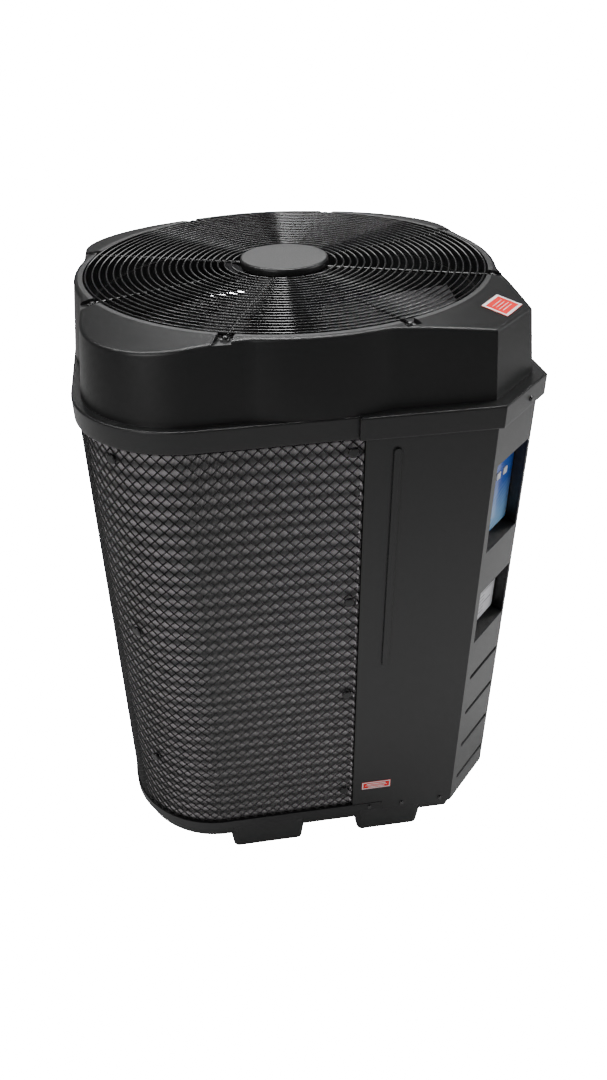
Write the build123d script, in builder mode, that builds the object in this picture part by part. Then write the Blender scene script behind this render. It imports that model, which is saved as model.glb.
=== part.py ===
"""Top-discharge pool heat pump, millimetres, Z up, fan axis on the Z axis, feet on Z = 0.

The front is -Y. The front right corner is the closed service corner; the coil and its
netting wrap the rest of the body. Every piece is its own solid in its own file.
"""
import os
from math import cos, radians, sin, sqrt
from build123d import *

os.makedirs("parts", exist_ok=True)

# ---- Driving dimensions -------------------------------------------------------------
# Body plan
body_half = 382.0            # fan axis to the outside of the netting
corner_radius = 180.0        # three rounded corners
corner_cut = 101.0           # leg of the 45 degree service corner
service_edge = 3.0           # rounding of the two edges of the service corner

# Stack of heights, floor upwards
foot_height = 53.0
skirt_height = 33.0
rim_height = 20.0
side_height = 863.0          # netting and panels that show between rim and flange
flange_height = 39.0
flange_edge = 3.0            # rounding of the flange edges
drum_height = 125.0

# Base
rim_proud = 3.0              # rim beyond the netting
rim_width = 17.0
floor_wall = 6.0
skirt_inset = 10.0
skirt_wall = 6.0
foot_widths = (150.0, 134.0)
foot_centres = (-113.0, 152.0)
foot_depth = 125.0
foot_inset = 15.0            # outer face of a foot behind the netting, at the floor
foot_corner = 12.0
foot_draft = 7.3             # degrees
foot_wall = 5.0
foot_edge = 5.0
anchor_hole_r = 5.5
drain_x = -60.0
drain_y = 200.0
drain_pipe_r = 10.0
drain_bore_r = 7.5
drain_reach = 26.0
drain_lip = 6.0
drain_lip_wall = 3.0

# Netting, panels and service corner
net_wall = 3.0
panel_proud = 3.0            # panel face beyond the netting face
panel_wall = 3.0
panel_left = 67.0            # left edge of the front panel
lap_left = 131.0             # from here the panel laps over the rim
lap_drop = 3.0               # lap reaches this far below the rim
panel_lift = 2.0             # gap between rim top and the short part of the panel
panel_return = 253.0         # the panel turns the corner and ends this far forward
side_panel_back = 100.0      # rear edge of the right side panel
hidden_height = 34.0         # netting and panels run up behind the flange
seam = 0.5                   # gap between neighbouring panels

# Raised rib on the front panel
rib_x = 119.0
rib_width = 15.0
rib_length = 457.0
rib_height = 4.0
rib_centre_z = 720.0
rib_draft = 20.0

# Windows and grooves on the 45 degree face, measured along the face
window_left = 16.0
window_right = 8.0
control_window = (716.0, 890.0)
plate_window = (511.0, 628.0)
control_depth = 30.0
plate_depth = 22.0
sill_rise = 9.0
pocket_wall = 2.5
groove_left = 20.0
groove_right = 8.0
groove_height = 11.0
groove_depth = 5.5
groove_draft = 25.0
groove_first_z = 137.0
groove_pitch = 94.0
groove_count = 4

# Plugs that hold the netting to the coil
plug_r = 9.0
plug_dome = 4.0
plug_stem_r = 3.0
plug_stem = 10.0
plug_end_x = 48.0
plug_edge = 18.0
plug_end_lower = (156.0, 427.0, 649.0)
plug_corner_lower = (269.0, 595.0)
plug_top_drop = 24.0         # highest plugs below the flange

# Keypad
keypad_wall = 8.0
keypad_gap = 0.6
key_size = 14.0
key_pitch = 26.0
key_count = 3
key_travel = 1.5
key_proud = 2.5
key_clearance = 0.4
key_shaft = 6.0
key_drop = 52.0              # key row below the top of the keypad
label_wall = 0.8
label_margin = 2.0
plate_margin = 6.0

# Stickers
sticker_wall = 0.4
panel_sticker_x = 116.0
panel_sticker_z = 163.0
panel_sticker_size = (61.0, 21.0)
lobe_sticker_r = 412.0
lobe_sticker_angle = -42.0
lobe_sticker_size = (62.0, 46.0)

# Coil
coil_inset = 15.0            # netting face to the fins
coil_depth = 44.0
coil_front_end = 70.0
coil_side_end = 95.0
coil_top_gap = 7.0           # fins stop below the flange
tube_sheet_wall = 3.0
tube_sheet_lip = 0.5         # sheets stand this far past the fins, inside the base rim
tube_pitch = 25.4
tube_r = 4.8
tube_rows = 1
bend_leg = 6.0

# Shroud
flange_proud = 7.0
service_flange_proud = 14.0
flange_step_x = 55.0
flange_step_y = 112.0
shroud_wall = 4.0
drum_proud = 6.5             # drum beyond the netting at the ledge
lobe_inset = 9.0             # lobes inside the body plan at the ledge
lobe_blend = 70.0
drum_draft = 7.5             # degrees
plate_start_r = 365.0        # the lobe plates slope down outside this radius
plate_slope = 0.2
top_edge = 6.0
fan_opening_r = 357.0
collar_wall = 4.0
collar_height = 63.0

# Guard
guard_turn = 22.5            # degrees, first rod
rod_count = 8
wire_r = 1.6
rod_r = 2.5
weld_gap = 0.3               # between a rod and the round or flat it rests on
ring_first_r = 94.0
ring_last_r = 352.0
ring_count = 22
rod_inner_r = 50.0
clip_r = 365.5
clip_size = 13.0
clip_wall = 2.5
notch_width = 27.0
notch_floor_wall = 4.0
boss_length = 44.0
closed_clip = 6              # the clip beside the service corner
closed_notch = 26.0
screw_clearance = 0.2
flange_screw_rise = 16.0     # flange screws above the bottom of the flange
flange_screw_run = 17.0      # from the middle of the 45 degree face
flange_screw_side_y = -90.0
lap_screw_z = 96.0
lap_screw_run = 174.0
lap_screw_pitch = 84.0
lap_screw_edge = 20.0
lap_shank = 9.0
rim_screw_x = 104.0
screw_head_r = 4.5
screw_head_height = 3.5
screw_r = 2.5
cap_r = 79.0
cap_above = 11.0             # cap top above the shroud top
cap_wall = 4.0

# Fan
motor_r = 68.0
motor_height = 80.0
shaft_r = 6.35
shaft_clearance = 0.05
throat_gap = 5.0             # opening radius to the throat ring bore
throat_wall = 3.0
throat_flare = 12.0
blade_tip_gap = 10.0
blade_count = 4
blade_wall = 3.0
blade_pitch = 22.0           # degrees
blade_root_chord = 92.0
blade_tip_chord = 184.0
hub_r = 45.0
hub_height = 40.0
bushing_r = 14.0
fan_below_motor = 10.0
hub_plate_wall = 5.0
hub_stud_r = 58.0
cap_edge = 5.0
motor_groove_first = 22.0
motor_groove_pitch = 9.0
motor_groove_count = 5

# Water side
recess_y = -115.0            # centre of the plumbing recess
recess_width = 180.0
recess_bottom = 170.0
recess_top = 560.0
recess_depth = 80.0
inlet_z = 260.0
outlet_z = 460.0
pipe_r = 30.0
pipe_bore_r = 25.0
socket_r = 30.2              # takes 2 inch plastic pipe
socket_length = 38.0
tail_r = 35.2
union_flange_r = 38.0
union_flange_wall = 6.0
gasket_wall = 3.0
nut_r = 46.0
nut_lip = 12.0
fit_gap = 0.4
pipe_stub = 19.0             # pipe flange face beyond the back of the recess
tail_neck = 5.0
nut_rib = 2.0
nut_rib_count = 10
switch_x = 240.0

# Supply bushing
bushing_y = 46.0
bushing_z = 640.0
bushing_body_r = 14.0
bushing_bore_r = 11.2        # half inch conduit
bushing_body = 12.0
bushing_flange_r = 18.0
bushing_flange = 4.0

# Posts behind the panel joints
post_size = 14.0
post_wall = 1.5
post_clearance = 1.0         # round a post, in the flare of the fan throat
post_inset = 21.5            # middle of a post behind the netting
post_front_x = 81.0          # post beside the netting on the front
post_back_y = 80.0           # post beside the netting on the right
post_corner_gap = 27.0       # front post before the service corner starts
post_return_gap = 38.0       # side post after the service corner ends

# Inside pieces
exchanger_x = 95.0
exchanger_r = 82.0
exchanger_height = 650.0
exchanger_cap = 18.0
stand_height = 20.0
compressor_x = -130.0
compressor_y = -70.0
compressor_r = 80.0
compressor_height = 322.0
grommet_height = 12.0
grommet_r = 14.0
foot_plate = 190.0
foot_plate_wall = 4.0
foot_bolt_spacing = 150.0
bolt_r = 4.0
bolt_clearance = 0.3
accumulator_y = 95.0
accumulator_r = 38.0
accumulator_height = 270.0
line_r = 8.0
line_bend = 26.0
box_x = (100.0, 238.0)
box_y = (-370.0, -258.0)
box_drop = 69.0              # top of the electrical box below the flange
box_height = 360.0
box_wall = 1.5
header_x = 104.0
header_y = -294.0
header_r = 11.0
header_edge = 3.0
header_bottom = 130.0
header_below_box = 110.0     # header top below the electrical box
valve_x = (-90.0, 60.0)
valve_y = -240.0
valve_z = 600.0
valve_r = 20.0
valve_stub = 36.0
expansion_x = 10.0
expansion_y = -260.0
drier_x = 60.0
drier_y = 130.0
drier_r = 28.0
drier_height = 150.0
liquid_drop = 109.0          # highest run of the liquid line below the flange

# ---- Levels and places worked out from the driving dimensions ------------------------
skirt_z = foot_height
rim_z = skirt_z + skirt_height
deck_z = rim_z + floor_wall
net_z = rim_z + rim_height
flange_z = net_z + side_height
ledge_z = flange_z + flange_height
top_z = ledge_z + drum_height
cap_z = top_z + cap_above
hidden_z = flange_z + hidden_height
fins_z = flange_z - coil_top_gap
lap_z = rim_z - lap_drop
panel_z = net_z + panel_lift
panel_face = body_half + panel_proud
port_heights = (inlet_z, outlet_z)
reach = body_half + 60.0     # larger than any half width
drum_r = body_half + drum_proud
foot_setback = body_half - foot_inset
post_line = body_half - post_inset
corner_start = body_half - corner_cut
post_places = [
    (post_front_x, -post_line),
    (corner_start - post_corner_gap, -post_line),
    (post_line, post_return_gap - corner_start),
    (post_line, post_back_y),
]
flange_screw_z = flange_z + flange_screw_rise
box_z = (flange_z - box_drop - box_height, flange_z - box_drop)
header_z = (header_bottom, box_z[0] - header_below_box)
liquid_top = flange_z - liquid_drop
plug_end_heights = plug_end_lower + (flange_z - plug_top_drop,)
plug_corner_heights = plug_corner_lower + (flange_z - plug_top_drop,)
bend_count = int((fins_z - deck_z - tube_pitch) / (2 * tube_pitch))

# The 45 degree face: its middle, its direction and its width
face_leg = corner_cut + panel_proud * (2 - sqrt(2))
face_width = face_leg * sqrt(2)
face_mid = panel_face - face_leg / 2
along = Vector(1, 1, 0).normalized()
outward = Vector(1, -1, 0).normalized()
face_origin = Vector(face_mid, -face_mid, 0)
service_face = Plane(origin=face_origin, x_dir=along, z_dir=outward)
front_face = Plane(origin=(0, -panel_face, 0), x_dir=(1, 0, 0), z_dir=(0, -1, 0))


def side_place(x, y, z, turn):
    """A place on an upright face whose outward direction is turned from -Y by turn."""
    return Location((x, y, z), (0, 0, turn)) * Location((0, 0, 0), (90, 0, 0))


flange_cut = corner_cut + service_flange_proud * (2 - sqrt(2))
flange_face_mid = body_half + service_flange_proud - flange_cut / 2
flange_screws = [
    side_place(
        flange_face_mid + flange_screw_run * along.X,
        -flange_face_mid + flange_screw_run * along.Y,
        flange_screw_z,
        45,
    ),
    side_place(body_half + service_flange_proud, flange_screw_side_y, flange_screw_z, 90),
    side_place(0, body_half + flange_proud, flange_screw_z, 180),
    side_place(-body_half - flange_proud, 0, flange_screw_z, -90),
]
panel_screws = [
    side_place(lap_screw_run, -panel_face, lap_screw_z, 0),
    side_place(lap_screw_run + lap_screw_pitch, -panel_face, lap_screw_z, 0),
]
side_screws = [
    side_place(panel_face, -lap_screw_run, lap_screw_z, 90),
    side_place(panel_face, side_panel_back - lap_screw_edge, lap_screw_z, 90),
]
rim_screws = [side_place(rim_screw_x, -body_half - rim_proud, lap_screw_z, 0)]


def body_prism(inset, bottom, top):
    """The body plan moved inwards by inset, from one height to another."""
    half = body_half - inset
    with BuildPart(mode=Mode.PRIVATE) as prism:
        with BuildSketch(Plane.XY.offset(bottom)):
            Rectangle(2 * half, 2 * half)
            cut_corner = vertices().sort_by(Axis((0, 0, 0), (1, -1, 0)))[-1]
            chamfer(cut_corner, corner_cut - inset * (2 - sqrt(2)))
            corners = vertices().sort_by(Axis((0, 0, 0), (1, -1, 0)))
            fillet(corners[:3], corner_radius - inset)
            if inset < service_edge:
                fillet(corners[-2:], service_edge - inset)
        extrude(amount=top - bottom)
    return prism.part


def body_band(outer, inner, bottom, top):
    """A wall that follows the body plan between two insets."""
    with BuildPart(mode=Mode.PRIVATE) as band:
        add(body_prism(outer, bottom, top))
        add(body_prism(inner, bottom, top), mode=Mode.SUBTRACT)
    return band.part


def corner_block(left, back, bottom, top):
    """Everything right of left and in front of back: the service corner."""
    with BuildPart(mode=Mode.PRIVATE) as block:
        with Locations((left, back, bottom)):
            Box(2 * reach, 2 * reach, top - bottom, align=(Align.MIN, Align.MAX, Align.MIN))
    return block.part


def upright(x, y, bottom, radius, height):
    """A vertical cylinder standing at x, y."""
    with BuildPart(mode=Mode.PRIVATE) as post:
        with Locations((x, y, bottom)):
            Cylinder(radius, height, align=(Align.CENTER, Align.CENTER, Align.MIN))
    return post.part


def sideways(x, y, z, radius, length):
    """A cylinder that runs from x towards +X."""
    with BuildPart(mode=Mode.PRIVATE) as bar:
        with BuildSketch(Plane(origin=(x, y, z), x_dir=(0, 1, 0), z_dir=(1, 0, 0))):
            Circle(radius)
        extrude(amount=length)
    return bar.part


def block(x_range, y_range, z_range):
    """A box given by its limits."""
    with BuildPart(mode=Mode.PRIVATE) as box:
        with Locations((x_range[0], y_range[0], z_range[0])):
            Box(
                x_range[1] - x_range[0],
                y_range[1] - y_range[0],
                z_range[1] - z_range[0],
                align=(Align.MIN, Align.MIN, Align.MIN),
            )
    return box.part


def refrigerant_line(points):
    """A copper pipe through the points, with round bends."""
    with BuildPart(mode=Mode.PRIVATE) as pipe:
        with BuildLine() as route:
            FilletPolyline(*points, radius=line_bend)
        with BuildSketch(route.line ^ 0):
            Circle(line_r)
        sweep(path=route.line)
    return pipe.part


# ---- Base ------------------------------------------------------------------------
foot_middle = foot_setback - foot_depth / 2
foot_places = [(x, y) for x in foot_centres for y in (-foot_middle, foot_middle)]
foot_sizes = [w for w in foot_widths for side in (-1, 1)]


def foot_pods(shrink, corner, bottom, top):
    """The four tapered feet, each side moved in by shrink, from one height to another."""
    with BuildPart(mode=Mode.PRIVATE) as pods:
        for (x, y), width in zip(foot_places, foot_sizes):
            with BuildSketch(Plane.XY.offset(bottom)):
                with Locations((x, y)):
                    RectangleRounded(width - 2 * shrink, foot_depth - 2 * shrink, corner)
            extrude(amount=top - bottom, taper=-foot_draft)
    return pods.part


with BuildPart() as base_feet:
    # Each foot is a cup that is open at the top and acts as a sump
    foot_shapes = foot_pods(0, foot_corner, 0, rim_z)
    add(foot_shapes)
    fillet(faces().group_by(Axis.Z)[0].edges(), foot_edge)
    foot_hollows = foot_pods(foot_wall, foot_corner - foot_wall, foot_wall, deck_z)
    add(foot_hollows, mode=Mode.SUBTRACT)
    with Locations([(x, y, 0) for x, y in foot_places]):
        Cylinder(anchor_hole_r, 2 * foot_wall + 2, mode=Mode.SUBTRACT)
base_feet.part.label = "base_feet"
export_step(base_feet.part, "parts/base_feet.step")

with BuildPart() as base_pan:
    # Skirt between the feet, floor and rim
    add(body_band(skirt_inset, skirt_inset + skirt_wall, skirt_z, rim_z))
    add(foot_shapes, mode=Mode.SUBTRACT)
    add(body_prism(-rim_proud, rim_z, deck_z))
    add(body_band(-rim_proud, rim_width - rim_proud, deck_z, net_z))
    # The floor is open above each foot
    add(foot_hollows, mode=Mode.SUBTRACT)
    # The rim steps in where the panels lap over it
    with BuildPart(mode=Mode.PRIVATE) as lap_recess:
        add(body_band(-rim_proud - 1, seam, rim_z, net_z))
        add(corner_block(lap_left - seam, side_panel_back + seam, rim_z, net_z), mode=Mode.INTERSECT)
    add(lap_recess.part, mode=Mode.SUBTRACT)
    # Drain hole
    with Locations((drain_x, drain_y, rim_z)):
        Cylinder(drain_pipe_r + fit_gap, 4 * floor_wall, mode=Mode.SUBTRACT)
    # Screw holes in the rim
    for place in panel_screws + side_screws + rim_screws:
        with Locations(place):
            Cylinder(screw_r + screw_clearance, 2 * (lap_shank + 1), mode=Mode.SUBTRACT)
base_pan.part.label = "base_pan"
export_step(base_pan.part, "parts/base_pan.step")

with BuildPart() as drain_fitting:
    # Hose tail below the floor, a slightly larger stretch in its hole, a lip above
    add(upright(drain_x, drain_y, rim_z - drain_reach, drain_pipe_r, drain_reach))
    add(upright(drain_x, drain_y, rim_z, drain_pipe_r + fit_gap / 2, floor_wall))
    add(upright(drain_x, drain_y, deck_z, drain_pipe_r + drain_lip, drain_lip_wall))
    with Locations((drain_x, drain_y, rim_z)):
        Cylinder(drain_bore_r, 4 * drain_reach, mode=Mode.SUBTRACT)
drain_fitting.part.label = "drain_fitting"
export_step(drain_fitting.part, "parts/drain_fitting.step")

# ---- Shroud ----------------------------------------------------------------------
def drum_prism(inset, bottom):
    """Drum and four corner lobes, drawn in by the draft towards the top."""
    lobe_half = body_half - lobe_inset - inset
    with BuildPart(mode=Mode.PRIVATE) as drum:
        with BuildSketch(Plane.XY.offset(ledge_z)) as outline:
            Rectangle(2 * lobe_half, 2 * lobe_half)
            cut_corner = vertices().sort_by(Axis((0, 0, 0), (1, -1, 0)))[-1]
            chamfer(cut_corner, corner_cut - (lobe_inset + inset) * (2 - sqrt(2)))
            round_corners = vertices().sort_by(Axis((0, 0, 0), (1, -1, 0)))[:3]
            fillet(round_corners, corner_radius - lobe_inset - inset)
            Circle(drum_r - inset)
            meet = sqrt((drum_r - inset) ** 2 - lobe_half ** 2)
            waists = [v for v in vertices() if abs(min(abs(v.X), abs(v.Y)) - meet) < 0.1]
            fillet(waists, lobe_blend + inset)
        extrude(amount=drum_height, taper=drum_draft)
        if bottom < ledge_z:
            extrude(outline.sketch, amount=bottom - ledge_z)
    return drum.part


def above_plates(drop):
    """The space above the top plates: flat inside, then sloping down outwards."""
    fall = plate_slope * (2 * reach - plate_start_r)
    with BuildPart(mode=Mode.PRIVATE) as space:
        with BuildSketch(Plane.XZ):
            with BuildLine():
                Polyline(
                    (0, top_z - drop),
                    (plate_start_r, top_z - drop),
                    (2 * reach, top_z - drop - fall),
                    (2 * reach, top_z + reach),
                    (0, top_z + reach),
                    close=True,
                )
            make_face()
        revolve(axis=Axis.Z)
    return space.part



clip_angles = [guard_turn + i * 360 / rod_count for i in range(rod_count)]
rod_z = top_z - wire_r - weld_gap - rod_r
notch_z = rod_z - rod_r - weld_gap


def at_clips(radius, height):
    """Places at the guard clips, turned so that X faces outwards."""
    return [
        Location((radius * cos(radians(a)), radius * sin(radians(a)), height), (0, 0, a))
        for a in clip_angles
    ]


with BuildPart() as shroud_hollow:
    # The space under the roof, less the bosses that carry the guard clips
    add(drum_prism(shroud_wall, ledge_z - 2 * shroud_wall))
    add(above_plates(shroud_wall), mode=Mode.SUBTRACT)
    with Locations(at_clips(clip_r, notch_z - notch_floor_wall)):
        Box(
            boss_length,
            notch_width + 2 * notch_floor_wall,
            drum_height,
            align=(Align.CENTER, Align.CENTER, Align.MIN),
            mode=Mode.SUBTRACT,
        )

with BuildPart() as flange:
    # The flange stands further out round the service corner; its edges are rounded
    add(body_prism(-service_flange_proud, flange_z, ledge_z))
    add(corner_block(flange_step_x, flange_step_y, flange_z, ledge_z), mode=Mode.INTERSECT)
    add(body_prism(-flange_proud, flange_z, ledge_z))
    fillet(faces().filter_by(Plane.XY).edges(), flange_edge)

with BuildPart() as service_hollow:
    add(body_prism(shroud_wall - service_flange_proud, flange_z, ledge_z - shroud_wall))
    add(
        corner_block(
            flange_step_x + shroud_wall, flange_step_y - shroud_wall, flange_z, ledge_z
        ),
        mode=Mode.INTERSECT,
    )

with BuildPart() as top_shroud:
    # Drum and lobes with sloping roof plates and a rolled top edge
    add(drum_prism(0, ledge_z))
    add(above_plates(0), mode=Mode.SUBTRACT)
    roof = [f for f in faces() if f.normal_at(f.center()).Z > 0.9]
    walls = [f for f in faces() if abs(f.normal_at(f.center()).Z) < 0.5]
    wall_edges = [e for f in walls for e in f.edges()]
    roof_edges = [e for f in roof for e in f.edges()]
    fillet([e for e in roof_edges if any(e.is_same(w) for w in wall_edges)], top_edge)
    # Flange
    add(flange.part)
    # Hollow inside the flange and the drum
    add(body_prism(shroud_wall - flange_proud, flange_z, ledge_z - shroud_wall), mode=Mode.SUBTRACT)
    add(service_hollow.part, mode=Mode.SUBTRACT)
    add(shroud_hollow.part, mode=Mode.SUBTRACT)
    # Fan opening with its collar
    add(upright(0, 0, top_z - collar_height, fan_opening_r + collar_wall, collar_height - shroud_wall))
    add(upright(0, 0, flange_z, fan_opening_r, 2 * drum_height), mode=Mode.SUBTRACT)
    # Notches for the guard clips; the one beside the service corner stays closed outside
    for number, place in enumerate(at_clips(fan_opening_r - 2 * clip_wall, notch_z)):
        notch_length = closed_notch if number == closed_clip else reach
        with Locations(place):
            Box(
                notch_length,
                notch_width,
                drum_height,
                align=(Align.MIN, Align.CENTER, Align.MIN),
                mode=Mode.SUBTRACT,
            )
    with Locations(at_clips(clip_r, notch_z)):
        Cylinder(screw_r + screw_clearance, 4 * notch_floor_wall, mode=Mode.SUBTRACT)
    # Screw holes in the flange
    for place in flange_screws:
        with Locations(place):
            Cylinder(screw_r + screw_clearance, 4 * shroud_wall, mode=Mode.SUBTRACT)
top_shroud.part.label = "top_shroud"
export_step(top_shroud.part, "parts/top_shroud.step")


def domed_pin(head_r, head_height, stem_r, stem):
    """A domed head standing on Z = 0 with a round stem below it."""
    with BuildPart(mode=Mode.PRIVATE) as pin:
        add(upright(0, 0, 0, head_r, head_height))
        fillet(faces().sort_by(Axis.Z)[-1].edges(), head_height * 0.7)
        add(upright(0, 0, -stem, stem_r, stem))
    return pin.part


def pins_at(pin, places):
    """Copies of a pin; Z of each place points out of the work."""
    return [pin.located(place) for place in places]


# ---- Netting and panels --------------------------------------------------------------
plug_arc = (corner_radius * sqrt(0.5), body_half - corner_radius)
plug_diagonal = plug_arc[0] + plug_arc[1]


def plug_places(lift):
    """Places of the netting plugs: one column at each end and one at each round corner."""
    face = body_half + lift
    diagonal = plug_diagonal + lift * sqrt(0.5)
    columns = [
        ((plug_end_x, -face), 0, plug_end_heights),
        ((-diagonal, -diagonal), -45, plug_corner_heights),
        ((-diagonal, diagonal), -135, plug_corner_heights),
        ((diagonal, diagonal), 135, plug_corner_heights),
        ((face, side_panel_back + plug_edge), 90, plug_end_heights),
    ]
    return [
        side_place(x, y, z, turn)
        for (x, y), turn, heights in columns
        for z in heights
    ]


with BuildPart() as coil_guard:
    add(body_band(0, net_wall, net_z, hidden_z))
    add(corner_block(panel_left - seam, side_panel_back + seam, net_z, hidden_z), mode=Mode.SUBTRACT)
    with Locations(plug_places(0)):
        Cylinder(plug_stem_r + fit_gap, 4 * net_wall, mode=Mode.SUBTRACT)
coil_guard.part.label = "coil_guard"
export_step(coil_guard.part, "parts/coil_guard.step")

with BuildPart() as guard_plugs:
    plug = domed_pin(plug_r, plug_dome, plug_stem_r, plug_stem)
    add(pins_at(plug, plug_places(fit_gap)))
guard_plugs.part.label = "guard_plugs"
export_step(guard_plugs.part, "parts/guard_plugs.step")


def face_point(run, height):
    """A point on the 45 degree face: run from its left edge, height above the floor."""
    return face_origin + along * (run - face_width / 2) + Vector(0, 0, height)


def pocket(z_range, depth, grow):
    """The space of a window: a level roof and a sill that rises towards the back."""
    left = face_point(window_left - grow, 0)
    jamb = Plane(origin=left, x_dir=-outward, z_dir=along)
    with BuildPart(mode=Mode.PRIVATE) as space:
        with BuildSketch(jamb):
            with BuildLine():
                Polyline(
                    (0, z_range[0] - grow),
                    (depth + grow, z_range[0] + sill_rise - grow),
                    (depth + grow, z_range[1] + grow),
                    (0, z_range[1] + grow),
                    close=True,
                )
            make_face()
        extrude(amount=face_width - window_left - window_right + 2 * grow)
    return space.part


groove_middle = (groove_left - groove_right) / 2
groove_length = face_width - groove_left - groove_right
groove_places = [
    (groove_middle, groove_first_z + i * groove_pitch) for i in range(groove_count)
]
windows = [(control_window, control_depth), (plate_window, plate_depth)]

with BuildPart() as service_panel:
    # Front, 45 degree face and a short return on the right
    add(body_band(-panel_proud, panel_wall - panel_proud, lap_z, hidden_z))
    add(corner_block(panel_left, -panel_return, lap_z, hidden_z), mode=Mode.INTERSECT)
    # Left of the lap the panel stops above the rim
    add(
        block(
            (panel_left - 1, lap_left),
            (-panel_face - 1, -body_half + 1),
            (lap_z - 1, panel_z),
        ),
        mode=Mode.SUBTRACT,
    )
    # Rib
    with BuildSketch(front_face):
        with Locations((rib_x, rib_centre_z)):
            SlotOverall(rib_length, rib_width, rotation=90)
    extrude(amount=rib_height, taper=rib_draft)
    # Walls of the windows and grooves stand behind the face
    for z_range, depth in windows:
        add(pocket(z_range, depth, pocket_wall))
    with BuildSketch(service_face):
        with Locations(groove_places):
            SlotOverall(groove_length + 2 * pocket_wall, groove_height + 2 * pocket_wall)
    extrude(amount=-groove_depth - pocket_wall)
    # Cut the windows and the louvre grooves
    for z_range, depth in windows:
        add(pocket(z_range, depth, 0), mode=Mode.SUBTRACT)
    with BuildSketch(service_face):
        with Locations(groove_places):
            SlotOverall(groove_length, groove_height)
    extrude(amount=-groove_depth, taper=groove_draft, mode=Mode.SUBTRACT)
    for place in panel_screws:
        with Locations(place):
            Cylinder(screw_r + screw_clearance, 4 * panel_wall, mode=Mode.SUBTRACT)
service_panel.part.label = "service_panel"
export_step(service_panel.part, "parts/service_panel.step")


with BuildPart() as cabinet_screws:
    flange_screw = domed_pin(screw_head_r, screw_head_height, screw_r, shroud_wall + 1)
    lap_screw = domed_pin(screw_head_r, screw_head_height, screw_r, lap_shank)
    add(pins_at(flange_screw, flange_screws))
    add(pins_at(lap_screw, panel_screws + side_screws + rim_screws))
cabinet_screws.part.label = "cabinet_screws"
export_step(cabinet_screws.part, "parts/cabinet_screws.step")

recess_y_range = (recess_y - recess_width / 2, recess_y + recess_width / 2)
recess_back = panel_face - recess_depth

with BuildPart() as side_panel:
    # Right side, from the service panel's return back to the netting
    add(body_band(-panel_proud, panel_wall - panel_proud, lap_z, hidden_z))
    add(
        block((0, reach), (seam - panel_return, side_panel_back), (lap_z, hidden_z)),
        mode=Mode.INTERSECT,
    )
    # Plumbing recess
    add(
        block(
            (recess_back - pocket_wall, body_half + panel_wall / 2),
            (recess_y_range[0] - pocket_wall, recess_y_range[1] + pocket_wall),
            (recess_bottom - pocket_wall, recess_top + pocket_wall),
        )
    )
    add(
        block((recess_back, reach), recess_y_range, (recess_bottom, recess_top)),
        mode=Mode.SUBTRACT,
    )
    for port_z in port_heights:
        add(
            sideways(recess_back - 10, recess_y, port_z, pipe_r + 2 * fit_gap, 20),
            mode=Mode.SUBTRACT,
        )
    # Supply bushing hole and screw holes
    add(sideways(0, bushing_y, bushing_z, bushing_body_r + fit_gap, reach), mode=Mode.SUBTRACT)
    for place in side_screws:
        with Locations(place):
            Cylinder(screw_r + screw_clearance, 4 * panel_wall, mode=Mode.SUBTRACT)
side_panel.part.label = "side_panel"
export_step(side_panel.part, "parts/side_panel.step")

with BuildPart() as conduit_bushing:
    add(sideways(panel_face, bushing_y, bushing_z, bushing_flange_r, bushing_flange))
    add(sideways(panel_face - bushing_body, bushing_y, bushing_z, bushing_body_r, bushing_body))
    add(
        sideways(0, bushing_y, bushing_z, bushing_bore_r, reach + panel_face),
        mode=Mode.SUBTRACT,
    )
conduit_bushing.part.label = "conduit_bushing"
export_step(conduit_bushing.part, "parts/conduit_bushing.step")

with BuildPart() as cabinet_posts:
    # Square tubes from the base floor to the underside of the ledge
    post_height = ledge_z - shroud_wall - deck_z
    with Locations([(x, y, deck_z) for x, y in post_places]):
        Box(
            post_size,
            post_size,
            post_height,
            align=(Align.CENTER, Align.CENTER, Align.MIN),
        )
        Box(
            post_size - 2 * post_wall,
            post_size - 2 * post_wall,
            2 * post_height,
            mode=Mode.SUBTRACT,
        )
cabinet_posts.part.label = "cabinet_posts"
export_step(cabinet_posts.part, "parts/cabinet_posts.step")

# ---- Control module in the upper window --------------------------------------------
window_width = face_width - window_left - window_right
window_middle = (window_left - window_right) / 2
keypad_width = window_width - 2 * keypad_gap
keypad_low = control_window[0] + sill_rise + keypad_gap
keypad_high = control_window[1] - keypad_gap
keypad_middle_z = (keypad_low + keypad_high) / 2
keypad_back = Plane(
    origin=face_origin - outward * control_depth, x_dir=along, z_dir=outward
)
keypad_front = Plane(
    origin=face_origin - outward * (control_depth - keypad_wall), x_dir=along, z_dir=outward
)
keys_z = keypad_high - key_drop
key_places = [
    (window_middle + (i - (key_count - 1) / 2) * key_pitch, keys_z) for i in range(key_count)
]

with BuildPart() as control_module:
    with BuildSketch(keypad_back):
        with Locations((window_middle, keypad_middle_z)):
            Rectangle(keypad_width, keypad_high - keypad_low)
    extrude(amount=keypad_wall)
    # Key shafts, open to the front with a floor behind
    with BuildSketch(keypad_front):
        with Locations(key_places):
            RectangleRounded(key_size + 2 * key_clearance, key_size + 2 * key_clearance, 2)
    extrude(amount=-key_shaft, mode=Mode.SUBTRACT)
control_module.part.label = "control_module"
export_step(control_module.part, "parts/control_module.step")

with BuildPart() as control_label:
    with BuildSketch(keypad_front):
        with Locations((window_middle, keypad_middle_z)):
            RectangleRounded(
                keypad_width - 2 * label_margin, keypad_high - keypad_low - 2 * label_margin, 4
            )
        with Locations(key_places):
            RectangleRounded(
                key_size + 4 * key_clearance, key_size + 4 * key_clearance, 2, mode=Mode.SUBTRACT
            )
    extrude(amount=label_wall)
control_label.part.label = "control_label"
export_step(control_label.part, "parts/control_label.step")

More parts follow.
